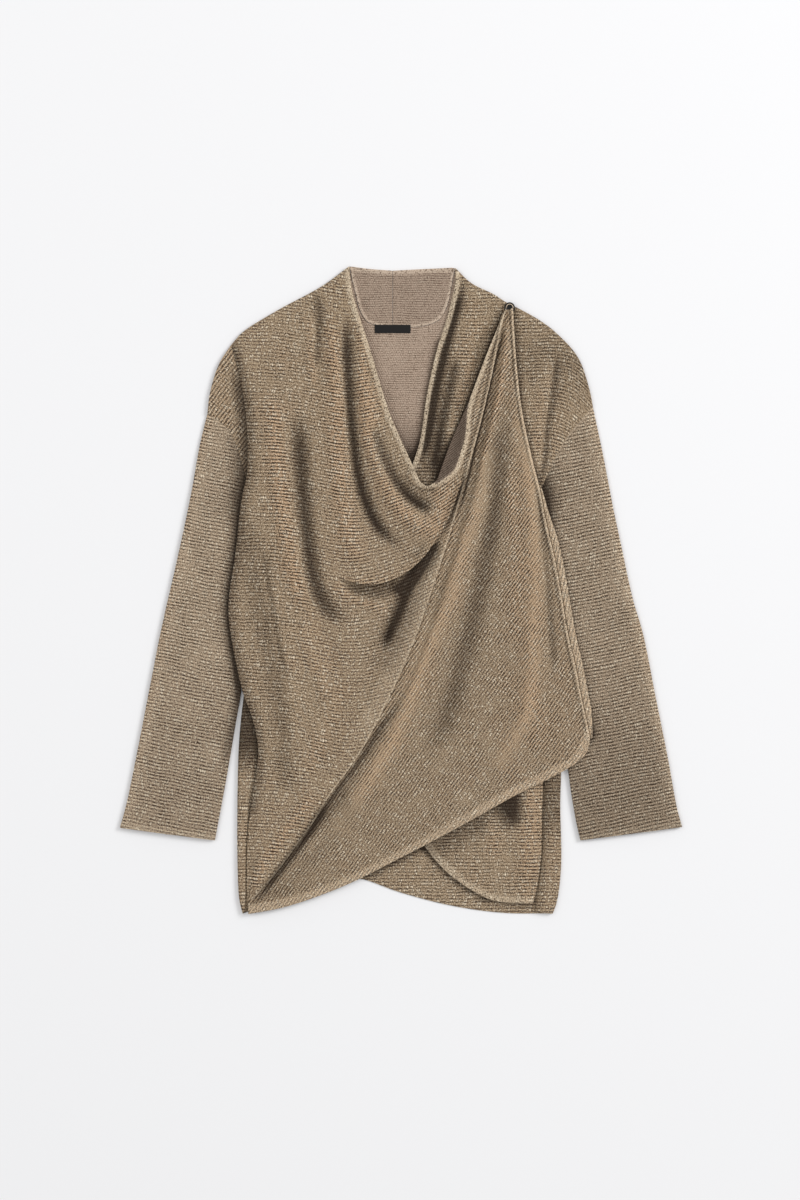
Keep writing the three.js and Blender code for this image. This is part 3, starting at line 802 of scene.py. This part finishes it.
def knit_material(name, middle, tan, dark, light, contrast=1.0, flecks=1.0, stitch=STITCH, row=ROW):
    """A flecked jersey from four colours, with its stitch and row sizes in metres."""
    material, tree = new_material(name)
    grain = add_node(tree, "ShaderNodeUVMap", {"uv_map": "grain"})
    across = grain.node("ShaderNodeSeparateXYZ", i0=grain)
    down = grain.node("ShaderNodeSeparateXYZ", out=1, i0=grain)
    wander = grain.node("ShaderNodeTexNoise", Vector=grain, Scale=25, Detail=1)
    line = down * (1 / row) + wander * 1.2
    number = line.math("FLOOR")
    place = across * (1 / stitch) + number * 0.5
    beside = (place.math("FRACT") - 0.5).math("ABSOLUTE") * 2
    between = (line.math("FRACT") - 0.5).math("ABSOLUTE") * 2
    cell = grain.node("ShaderNodeCombineXYZ", i0=place.math("FLOOR"), i1=number)
    tone = grain.node("ShaderNodeTexWhiteNoise", {"noise_dimensions": "2D"}, Vector=cell)
    run = grain.node("ShaderNodeCombineXYZ", i0=place * 0.22, i1=number * 3.7)
    twist = grain.node("ShaderNodeTexNoise", Vector=run, Scale=1, Detail=1)
    yarn = grain.node("ShaderNodeTexNoise", Vector=grain, Scale=620, Detail=2, Roughness=0.6)
    patches = grain.node("ShaderNodeTexNoise", Vector=grain, Scale=30, Detail=3)
    tint, hem, smooth = (
        add_node(tree, "ShaderNodeAttribute", {"attribute_name": key}, 2) for key in ("tint", "hem", "smooth")
    )

    # Random patches of warmer tone, plus the warm tan of the painted highlight where painted light is above
    # zero.
    tone_and_highlight = clamped(tint * 0.8 + (patches - 0.46) * 0.9)
    colour = mix_colour(tree, tone_and_highlight, middle, tan)
    strength = 0.55 + clamped(tint.math("ABSOLUTE")) * 0.5 + (patches - 0.5) * 1.2
    strength = strength * (1 - hem * 0.75) * (1 - smooth)
    dash = clamped((between - 0.25) * 2.2) * (1 - beside * 0.45) * (tone * 1.5 + twist * 0.4)
    colour = mix_colour(tree, clamped(dash * clamped(strength) * (1.7 * contrast)), colour, dark)
    dull = clamped((0.42 - tone) * 1.7) * (1 - hem) * (1 - smooth) * (0.35 * flecks)
    colour = mix_colour(tree, dull, colour, dark)
    bead = (1 - beside * beside) * (1 - between * between)
    cream = bead * clamped((twist - 0.5) * 2 + (tone - 0.68) * 2.5) + clamped((yarn - 0.545) * 6)
    colour = mix_colour(tree, clamped(cream * (1 - smooth * 0.6) * (0.75 * flecks)), colour, light)
    flecked = grain.node("ShaderNodeTexNoise", Vector=grain, Scale=380, Detail=1)
    # Hems are paler and stippled; along the drape's fold edge this paler line is a painted highlight.
    colour = mix_colour(tree, clamped(hem * 0.35), colour, light)
    colour = mix_colour(tree, clamped((flecked - 0.56) * 9) * hem * 0.9, colour, dark)
    colour = mix_colour(tree, clamped((0.46 - yarn) * 9 * contrast) * (1 - smooth * 0.6), colour, dark)
    # Painted shade: below zero the yarn darkens toward the deep shade colour.
    colour = mix_colour(tree, clamped(tint * -0.5).math("MINIMUM", 0.9), colour, SHADE)
    relief = bead * (1 - hem * 0.5) + yarn * 0.3
    normal = add_node(tree, "ShaderNodeBump", Strength=0.5, Distance=0.0012, Height=relief)
    finish_material(tree, Base_Color=colour, Roughness=0.92, Normal=normal, Specular_IOR_Level=0.15)
    return material


# The colour in the depth of a fold
SHADE = linear(38, 28, 20)
yarn_tones = {"dark": linear(62, 46, 34), "light": linear(238, 222, 196)}
# The fronts' knit is a darker copy of the sleeves' one, as painted shade over the folded fronts.
knit = knit_material("knit_front_shaded", linear(170, 148, 121), linear(206, 174, 140), **yarn_tones)
knit_sleeve = knit_material(
    "knit_sleeve", linear(194, 172, 146), linear(206, 175, 142), contrast=0.8, flecks=1.1, **yarn_tones
)
knit_inside = knit_material(
    "knit_inside", linear(180, 159, 141), linear(190, 167, 146), linear(98, 78, 64),
    linear(214, 198, 178), contrast=0.7, flecks=0.5, stitch=0.0028, row=0.0028,
)
print("knit materials ready")

# %% [markdown]
# ## The back
# The back is the lowest layer and lies flat on the floor, so we mostly see its inside in the neck
# opening. At both sides it turns up and over to the front, and that narrow strip shows its outside.
# One sheet could be bent over, but two strips of their own keep the flat part's grid simple. The
# cloth deep in the neck opening, beside the left front and under the cape's hem gets painted shade.

# %% Back
def face_middles(piece):
    """The middle of each face of a mesh, in millimetres."""
    middle = np.empty(3 * len(piece.data.polygons))
    piece.data.polygons.foreach_get("center", middle)
    return middle.reshape(-1, 3) / MM


x, y, _, _ = even_patch(BACK, 90, 110)
# Painted shade deep in the neck opening, beside the left front's edges and under the cape's hem.
neck_shade = -1.5 * ramp((215 - y) / 75) * (y > 0)
neck_shade -= 1.3 * closeness(CAPE["bottom"], x, y, 5) * (y < 0)
neck_shade -= 1.1 * closeness(LEFT_FRONT["left"], x, y, 5) * (y < 300)
neck_shade -= 1.6 * closeness(LEFT_FRONT["bottom"], x, y, 4)
neck_shade -= 0.8 * ramp((172 - y) / 20) * (y > 100)
back_flat = shell_mesh(x, y, 0 * x, CLOTH, turned(x, y, 0), neck_shade, 0 * x)


# How far in from the back's edge each place of the turn lies, and how high its middle is
BEND = np.array([(6, 0.9), (1, 0.75), (0, 1.9), (0.3, 2.9), (1.2, 3.3), (3, 3.4)])
HALF_TURN = 0.7


def side_return(edges, side):
    """The back's edge, turned up and over towards the side seam."""
    t = fractions(120)
    outer, inner = at(edges["outer"], t), at(edges["inner"], t)
    width = np.linalg.norm(inner - outer, axis=1)[:, None]
    reach = np.concatenate([np.tile(BEND[:, 0], (len(t), 1)), width * 0.55, width], axis=1)
    height = np.concatenate([BEND[:, 1], [3.3, 2.9]])
    way = (inner - outer) / width
    x = outer[:, :1] + way[:, :1] * reach
    y = outer[:, 1:] + way[:, 1:] * reach
    low = np.broadcast_to(height, x.shape) - 0.75
    a = np.stack([x, y, low], axis=-1)
    b = np.stack([x, y, low + HALF_TURN * 2], axis=-1)
    b[:, 1:3, 2] = low[:, 1:3] + HALF_TURN
    b[:, 1:4, 0] += way[:, :1] * 1.0
    points = np.concatenate([a, b[:, ::-1]], axis=1).reshape(-1, 3)
    faces = shell_faces(*x.shape)
    if side > 0:
        faces = faces[:, ::-1]
    # Painted shade on each turn where it lies in the gap beside the sleeve, darker toward its top.
    tint = 0.1 - (1.6 * ramp((y + 230) / 50) if side < 0 else 0.8 * ramp((y + 310) / 50))
    tint = out_and_back(tint)
    return points, faces, out_and_back(turned(x, y, 0)), tint, 0 * tint


back = knit_piece("back_cloth", back_flat, knit_inside, knit)
back.data.polygons.foreach_set("material_index", (face_middles(back)[:, 1] < 0).astype(int))
sides = merged(side_return(RETURN_RIGHT, -1), side_return(RETURN_LEFT, 1))
back_sides = knit_piece("back_side_turns", sides, knit)

# %% [markdown]
# ## The left front
# The left front is the lower of the two. Its neck edge and its curved hem are turned under, so both
# get a thicker band along them. The rows of stitches bend down toward the sleeve, so the knit's own
# coordinates are bent there, which is easier than bending the mesh.

# %% Left front
x, y, _, _ = patch(LEFT_FRONT, 78, 150)
low, tint = left_front_low(x, y)
neck_hem = band(LEFT_FRONT["left"], x, y, 5.5) * ramp((y - 100) / 40)
low_hem = band(LEFT_FRONT["bottom"], x, y, 8)
# Painted shade near the V neck, along the drape's edge, under the cape's hem and beside the cape's side; the
# low side strip is a little lighter and a band across the shoulder a little darker.
tint = tint - 0.45 * ramp((62 - x) / 20) * ramp((260 - y) / 60) * (y > 60)
tint -= 2.0 * closeness(DRAPE["top"][14 * FINE:], x, y, 3.5) * (y < 335)
tint -= 1.0 * closeness(CAPE["bottom"], x, y, 20) * (y < -100) * (x < 150)
tint -= 1.0 * closeness(CAPE["right"], x, y, 5)
tint += 0.4 * ramp((x - 140) / 8) * (y < -220)
tint -= 0.35 * np.exp(-(((y - 275) / 35) ** 2)) * ramp((x - 110) / 20)
rows = turned(x, y, 0)
crease = np.interp(y, (122, 193, 269, 330), (167, 175, 186, 195))
rows[..., 1] += 0.011 * np.clip(x - crease, 0, None) ** 2 * (y > 100)
tint = tint * (1 - 0.85 * neck_hem)
wall = CLOTH + neck_hem * 0.8 + low_hem * 0.5
left_front = knit_piece(
    "left_front_cloth", shell_mesh(x, y, low, wall, rows, tint, neck_hem + 0.6 * low_hem), knit
)

# %% [markdown]
# ## The right front
# This is one wide panel. It drapes from the right shoulder into a cowl, is caught at the left
# shoulder, folds back under itself along a long diagonal edge, and comes out again as the cape.
# The drape's cloth turns down at that edge and sits on the cape, so the fold looks thick. The rows
# of stitches bend upward to the right in the cowl, so their slope grows with x.

# %% Drape
SLOPES = np.array([
    (-200, 0), (-150, -0.08), (-110, -0.2), (-80, -0.22), (-60, 0), (-40, 0.2), (0, 0.35), (40, 0.6),
    (80, 0.8), (140, 0.9),
])
steps = np.linspace(-200, 140, 341)
rises = np.cumsum(np.interp(steps, SLOPES[:, 0], SLOPES[:, 1]))


def drape_grain(x, y):
    """Rows that run level at the armhole, sag, and then rise to the right across the cowl."""
    lift = np.interp(x, steps, rises)
    return np.stack([x + 0.4 * lift, y - lift], axis=-1)


cowl_edge = smooth_line(COWL_EDGE, 48)

x, y, u, _ = even_patch(DRAPE, 120, 208)
low, tint = drape_low(x, y, u)
gap, _, inside = nearest(cowl_edge, x, y)
inside &= (x > 24) & (y < 240)
hem = band(DRAPE["top"], x, y, 5.5) * (x < 24) + ramp((6 - gap) / 1.5) * ~inside * (x >= 24)
# Painted shade: a shadow line just outside the cowl's hem, a line just inside the drape's fold edge and a
# band beside the sleeve. The fold edge itself gets a painted highlight through the hem value.
shadow_line = np.exp(-(((gap - 7.5) / 1.5) ** 2)) * ~inside
edge_gap = nearest(DRAPE["right"][::4], x, y)[0]
edge_highlight = ramp((2.4 - edge_gap) / 1.2)
shade_under_edge = np.exp(-(((edge_gap - 4.2) / 1.4) ** 2)) * ramp((y - 95) / 20)
strip = 0.2 * ramp((24 - edge_gap) / 8) * ramp((60 - y) / 30) * ramp((y + 200) / 60)
wall = CLOTH + 0.9 * hem + 1.6 * band(DRAPE["right"], x, y, 3, 4)
shade_beside_sleeve = closeness(DRAPE["left"][8 * FINE:], x, y, 8) * (y > -270)
tint = (1 - 0.8 * hem) * tint - 0.7 * shadow_line - 0.9 * shade_under_edge - 0.9 * shade_beside_sleeve
# The cowl's inside, behind its edge, is all painted shade.
tint = np.where(inside, -1.1, tint)
hem_and_edge_highlight = np.maximum(np.maximum(0.9 * hem, 0.8 * edge_highlight), strip)
drape = shell_mesh(x, y, low, wall, drape_grain(x, y), tint, hem_and_edge_highlight)

print("drape ready")

# %% [markdown]
# ## The swag and the corner at the armhole
# At the waist the cowl's cloth hangs over a little, so a flap starts under the surface along its
# root and rises toward its free lower edge. A small corner of the same panel lies at the armhole.

# %% Swag and corner
SWAG_ROOT = [
    (-86, 27), (-66, 36), (-40, 45), (-14, 54), (8, 66), (24, 82), (38, 98), (50, 113), (62, 130), (71, 146),
]
swag = {"top": smooth_line(SWAG_ROOT, 96), "bottom": smooth_line(SWAG_EDGE, 96)}
swag["left"] = np.linspace(swag["top"][0], swag["bottom"][0], 30)
swag["right"] = np.linspace(swag["top"][-1], swag["bottom"][-1], 30)
x, y, u, v = patch(swag, 110, 36)
low, tint = drape_body(x, y)
faded = ramp(u / 0.16) * ramp((1 - u) / 0.06)
rise = faded[None] * v[:, None] ** 1.4
low = low * (1 - rise) + np.maximum(DRAPE_LEVEL + 5.5, low + 3) * rise - 1.2 * (1 - rise)
thick = 1.2 + 1.8 * ramp((v[:, None] - 0.8) / 0.2) * faded[None]
# A painted highlight along the flap's lower lip; the flap is also lighter toward the fold edge.
tint = tint * (1 - rise) + 0.35 * np.exp(-(((v[:, None] - 0.9) / 0.12) ** 2)) + 0.5 * ramp((x - 20) / 30)
flap = shell_mesh(x, y, low, thick, drape_grain(x, y), tint, 0 * x)

x, y, _, _ = patch(ARMHOLE_CORNER, 40, 60)
# Painted shade beside the drape's edge, fading out toward the shoulder; the rest of the corner is a little
# warmer.
shade = 0.35 - 1.9 * closeness(DRAPE["left"], x, y, 12, 6) * ramp((285 - y) / 50)
corner = shell_mesh(x, y, FRONT_LEVEL + 0 * x, CLOTH, turned(x, y, 52), shade, 0 * x)

print("swag ready")

# %% [markdown]
# ## The cape
# The cape is the far end of the same panel, turned so far that its rows run steeply. All four parts
# become one piece. The faces behind the cowl's edge show the inside of the cloth.

# %% Cape
x, y, _, _ = patch(CAPE, 92, 180)
low, tint = cape_low(x, y)
side_hem = band(CAPE["right"], x, y, 2.5)
low_hem = band(CAPE["bottom"], x, y, 10)
wall = CLOTH + 0.5 * side_hem + 0.5 * low_hem
# The two named ridges get a smoother knit, as part of their painted highlight.
on_tan, on_side = (closeness(smooth_line(ridge, 40), x, y, 11, 1) for ridge in (TAN_RIDGE, SIDE_RIDGE))
smooth = 0.55 * np.maximum(on_tan, on_side)
# A painted shadow line just inside the turned side edge; the hems are warmer, and painted light brightens the
# cape toward its right side.
side_shade_line = np.exp(-(((nearest(CAPE["right"][::4], x, y)[0] - 4) / 1.4) ** 2))
tint = tint + 0.6 * side_hem - 1.0 * side_shade_line + 0.5 * low_hem
open_rows = -0.2 * (1 - side_hem) * (1 - low_hem)
tint += 0.25 * ramp((x - 100) / 40) * (1 - side_shade_line)
cape = shell_mesh(x, y, low, wall, 1.15 * turned(x, y, 54), tint, 0.9 * side_hem + 0.45 * low_hem + open_rows)
cape_smooth = out_and_back(smooth)
right_front = knit_piece("right_front_cloth", merged(drape, flap, corner, cape), knit, knit_inside)
mesh = right_front.data
smooth = np.zeros(len(mesh.vertices))
smooth[-len(cape_smooth):] = cape_smooth
mesh.attributes.new("smooth", "FLOAT", "POINT").data.foreach_set("value", smooth)
middle = face_middles(right_front)[: len(drape[1])]
in_pocket = np.zeros(len(mesh.polygons), dtype=int)
in_pocket[: len(middle)] = nearest(cowl_edge, middle[:, 0], middle[:, 1])[2]
in_pocket[: len(middle)] &= (middle[:, 0] > 24) & (middle[:, 1] < 240) & (middle[:, 1] > 120)
mesh.polygons.foreach_set("material_index", in_pocket)

# %% [markdown]
# ## The sleeves
# A sleeve laid flat is a flattened tube, open at the armhole and at the cuff. Its section is a
# rounded strip that grows a little in height from the seam. The cuff has a smooth turned hem. Two
# sheets could be laid on each other, but a tube with an inner wall shows the cuff's real opening.

# %% Sleeves
SEAM_HEIGHT = 3.7
ROUNDNESS = 0.45
CUFF_START = 0.982


def sleeve(name, edges, rows_turned, beside, shade, dim):
    """A flattened tube. Shade darkens it along the line beside it, and dim darkens all of it."""
    t = fractions(150)
    angle = np.linspace(0, 2 * math.pi, 88, endpoint=False)
    u = (1 - np.cos(angle)) / 2
    over = np.sign(np.sin(angle)) * np.abs(np.sin(angle)) ** ROUNDNESS
    plan = between(edges, u, t)
    middle = plan.mean(axis=1, keepdims=True)
    height = SEAM_HEIGHT + (SLEEVE_HEIGHT - SEAM_HEIGHT) * ramp(4 * t)
    seam = np.exp(-((t / 0.008) ** 2))
    rings = []
    for inset in (0, CLOTH * 0.8):
        reach = np.linalg.norm(plan - middle, axis=-1, keepdims=True)
        inner = plan - (plan - middle) * inset / np.maximum(reach, 1e-6)
        half = height[:, None] / 2 - inset - 0.5 * seam[:, None]
        z = height[:, None] / 2 + half * over[None]
        rings.append(np.concatenate([inner, z[..., None]], axis=-1))
    outside, inside = rings
    stack = np.concatenate([outside, inside[::-1]])
    count = len(angle)
    faces = ring_faces(len(stack), count, closed=True)
    if edges is SLEEVE_RIGHT:
        faces = faces[:, ::-1]
    points = stack.reshape(-1, 3)
    grain = turned(points[:, 0], points[:, 1], rows_turned)
    end = np.concatenate([t, t[::-1]])[:, None]
    hem = 0.5 * ramp((end - CUFF_START) / 0.004) + 0.7 * np.exp(-((end / 0.006) ** 2)) - 0.3
    hem = np.broadcast_to(hem, stack.shape[:2])
    x, y = points[:, 0], points[:, 1]
    # Painted shade beside the panel that the sleeve lies against, wider near the top, and lower down in the
    # gap beside the body; the whole sleeve is darker toward the cuff, and its outer edge a little lighter.
    reach = 8 + 8 * ramp((y - 60) / 60)
    tint = -shade * closeness(beside, x, y, reach, 6)
    beside_body = ramp((-10 - y) / 40) * ramp((y + 230) / 60)
    tint -= 1.3 * closeness(edges["right"], x, y, 9, 6) * beside_body
    tint -= dim * (0.8 + 0.8 * ramp((-60 - y) / 200))
    tint += 0.5 * closeness(edges["left"], x, y, 9, 6)
    return knit_piece(name, (points, faces, grain, tint, hem.ravel()), knit_sleeve)


right_sleeve = sleeve("right_sleeve_cloth", SLEEVE_RIGHT, -12, DRAPE["left"], 1.7, 0.2)
left_sleeve = sleeve("left_sleeve_cloth", SLEEVE_LEFT, 12, CAPE["right"], 2.0, 0.42)

# %% [markdown]
# ## The neck band behind
# Each front runs on behind the neck as half of a band, and the halves meet at the centre back. Its
# outer edge is a soft roll, and we see its inside. A strip swept along a curve would do, but a grid
# between the neck seam and the outer edge follows both exactly.

# %% Neck band
NECK_MIDDLE = np.array((0, 388))
CENTRE_BACK = -10
SEAM_GAP = 0.4


def neck_band(name, top_places, seam, side):
    top = stretch(top_places, 6)
    way = NECK_MIDDLE - seam
    bottom = seam + way * SEAM_GAP / np.linalg.norm(way, axis=1)[:, None]
    inner = -1 if side < 0 else 0
    top[inner, 0] = bottom[inner, 0] = CENTRE_BACK + SEAM_GAP / 2 * side
    edges = {"top": top, "bottom": bottom}
    edges["left"] = np.linspace(top[0], bottom[0], 20)
    edges["right"] = np.linspace(top[-1], bottom[-1], 20)
    x, y, _, v = patch(edges, 40, 40)
    roll = np.exp(-(((v[:, None] - 0.06) / 0.06) ** 2)) + 0 * x
    stitched = band(bottom, x, y, 3)
    wall = CLOTH + 1.0 * roll + 0.6 * stitched
    hem = np.maximum(stitched, 0.9 * band(top, x, y, 5))
    data = shell_mesh(x, y, 0 * x, wall, turned(x, y, 0), 0.6 * hem - 0.2, hem)
    return knit_piece(name, data, knit_inside)


collar_right = neck_band("neck_band_right", [(-58, 387.6), (-37, 385), (-10, 383)], neck_seam_right, -1)
collar_left = neck_band("neck_band_left", [(-10, 383), (29, 385), (61, 386.4)], neck_seam_left, 1)

# %% [markdown]
# ## The cape's turned front edge
# The cape's front edge is turned under and shows beside it as a narrow roll. A curve with a bevel
# would make a round one, and rings of our own give it a flat section that tapers at both ends.

# %% Cape edge
ROLL_SIDES = 16
ROLL_WIDTH = 8.5

roll_line = CAPE["right"][9 * FINE:: 2]
way = directions(roll_line)
out = np.column_stack([-way[:, 1], way[:, 0]])
t = np.linspace(0, 1, len(roll_line))
width = ROLL_WIDTH * np.minimum(1, np.minimum(0.15 + t * 4, 0.3 + (1 - t) * 6))
turn = np.linspace(0, 2 * math.pi, ROLL_SIDES, endpoint=False)
reach = 0.5 + width[:, None] * (1 + np.cos(turn)) / 2
height = SLEEVE_HEIGHT + 1.45 + 1.0 * np.sin(turn)[None] + 0 * reach
roll_x = roll_line[:, :1] + out[:, :1] * reach
roll_y = roll_line[:, 1:] + out[:, 1:] * reach
points = np.stack([roll_x, roll_y, height], axis=-1).reshape(-1, 3)
faces = [face[::-1] for face in capped(len(roll_line), ROLL_SIDES)]
cape_roll = new_object("cape_edge_cloth", points, faces, knit)
half = np.full(len(points), 0.5)
knit_data(cape_roll, turned(points[:, 0], points[:, 1], 80), tint=half, hem=half)

# %% [markdown]
# ## Button, loop and label
# The button is a dished disc of dark resin. We turn it from a short profile, as a Screw modifier
# would. The loop is a thread over it, and the label is a bare strip of black satin.

# %% Button, loop and label


def plain_material(name, colour, roughness, coat=0.0):
    material, tree = new_material(name)
    surface = add_node(tree, "ShaderNodeTexCoord", out=3)
    cloud = surface.node("ShaderNodeTexNoise", Vector=surface, Scale=600, Detail=2)
    shade = mix_colour(tree, cloud * 0.4, colour, tuple(c * 0.6 for c in colour[:3]) + (1,))
    normal = surface.node("ShaderNodeBump", Strength=0.1, Distance=0.0003, Height=cloud)
    finish_material(
        tree, Base_Color=shade, Roughness=roughness, Normal=normal, Coat_Weight=coat,
        Specular_IOR_Level=0.2,
    )
    return material


resin = plain_material("button_resin", linear(24, 21, 19), 0.35, 0.2)
thread = plain_material("loop_thread", linear(214, 196, 172), 0.8)
satin = plain_material("label_satin", linear(27, 25, 24), 0.6)

# Distance from the button's middle and height, from its underside round the rim to the dish
profile = np.array([
    (0.01, 4.3), (5.8, 4.3), (6.5, 5.0), (6.5, 6.0), (6.1, 6.5), (5.4, 6.7), (4.9, 6.5), (4.4, 6.1),
    (0.01, 6.0),
])
BUTTON_SIDES = 40
turn = np.linspace(0, 2 * math.pi, BUTTON_SIDES, endpoint=False)
rings = np.stack([
    BUTTON_AT[0] + profile[:, :1] * np.cos(turn), BUTTON_AT[1] + profile[:, :1] * np.sin(turn),
    np.repeat(profile[:, 1:], BUTTON_SIDES, axis=1),
], axis=-1)
button = new_object("button_disc", rings.reshape(-1, 3), capped(len(profile), BUTTON_SIDES), resin)


def tube(name, line, radius, material, sides=8):
    """A round thread along a line of places in space."""
    way = directions(line)
    side = np.cross(way, (0, 0, 1))
    side /= np.linalg.norm(side, axis=1)[:, None]
    up = np.cross(side, way)
    turn = np.linspace(0, 2 * math.pi, sides, endpoint=False)[None, :, None]
    rings = line[:, None] + radius * (np.cos(turn) * side[:, None] + np.sin(turn) * up[:, None])
    return new_object(name, rings.reshape(-1, 3), capped(len(line), sides), material)


LOOP_RADIUS = 4
angle = np.pi * np.linspace(1.05, -0.05, 28)
loop_x, loop_y = BUTTON_AT[0] + LOOP_RADIUS * np.cos(angle), BUTTON_AT[1] + LOOP_RADIUS * np.sin(angle)
loop_line = np.column_stack([loop_x, loop_y, BUTTON_TOP + 1.0 + 0 * angle])
loop = tube("thread_loop", loop_line, 0.45, thread)

LABEL_AT = (-10, 313)
LABEL_SIZE = (43, 10)
x, y = np.meshgrid(
    LABEL_AT[0] + LABEL_SIZE[0] * (fractions(24) - 0.5), LABEL_AT[1] + LABEL_SIZE[1] * (0.5 - fractions(8))
)
points, faces, *_ = shell_mesh(x, y, 1.8 + 0 * x, 0.6, turned(x, y, 0), 0 * x, 0 * x)
label = new_object("label_strip", points, faces, satin)

# %% [markdown]
# ## What each piece stands for
# Every piece rides on the garment's one body and replaces its solid.

SHEETS = [
    # piece, node, width and length of its rectangle, flat area, what it rests on, pieces sewn to it
    (back, "back", (0.462, 0.776), 0.290, [], [back_sides]),
    (left_front, "left_front", (0.232, 0.762), 0.125, ["back_cloth"], []),
    (right_front, "right_front", (0.66, 0.80), 0.290, ["left_front_cloth", "back_cloth"], []),
    (right_sleeve, "right_sleeve", (0.26, 0.53), 0.118, [], []),
    (left_sleeve, "left_sleeve", (0.27, 0.53), 0.122, [], []),
    (collar_right, "back_collar_right", (0.051, 0.072), 0.0030, [], []),
    (collar_left, "back_collar_left", (0.0706, 0.072), 0.0042, [], []),
    (cape_roll, "cape_edge_roll", (0.018, 0.306), 0.0026, ["left_sleeve_cloth"], []),
]

TRIMS = [
    (button, "shoulder_button", "button"), (loop, "button_loop", "thread"), (label, "neck_label", "label"),
]


def declare(piece, node):
    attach(piece, "root")
    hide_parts(node)


for piece, node, flat, area, under, along in SHEETS:
    for part in (piece, *along):
        declare(part, node)
for piece, node, slot in TRIMS:
    declare(piece, node)
print("pieces declared:", len(SHEETS) + len(TRIMS))

# %% [markdown]
# ## Light
# The photograph has a nearly shadowless white floor, with faint shadows to the left of the sleeves.
# A large soft light from the upper right gives those, and the world fills in the rest. The floor
# is not attached to the garment's body, because it isn't part of the object.

# %% Lights
FLOOR_HALF = 3000
white, tree = new_material("floor_white")
finish_material(tree, Base_Color=(0.86, 0.86, 0.87, 1), Roughness=0.9, Specular_IOR_Level=0.1)
corners = [(-1, -1, 0), (1, -1, 0), (1, 1, 0), (-1, 1, 0)]
floor = new_object("floor", FLOOR_HALF * np.array(corners), [(0, 1, 2, 3)], white)

world = bpy.data.worlds.new("studio")
bpy.context.scene.world = world
world.use_nodes = True
background = world.node_tree.nodes["Background"]
background.inputs["Color"].default_value = (1, 1, 1, 1)
background.inputs["Strength"].default_value = 0.65


def soft_light(name, place, size, power):
    data = bpy.data.lights.new(name, "AREA")
    data.size = size
    data.energy = power
    light = bpy.data.objects.new(name, data)
    light.location = place
    light.rotation_euler = Vector(place).to_track_quat("Z", "Y").to_euler()
    bpy.context.scene.collection.objects.link(light)


soft_light("key_light", (5.1, 2.5, 3.3), 2.3, 260)
soft_light("fill_light", (-3.0, 1.0, 3.5), 3.0, 42)
print("lights ready")
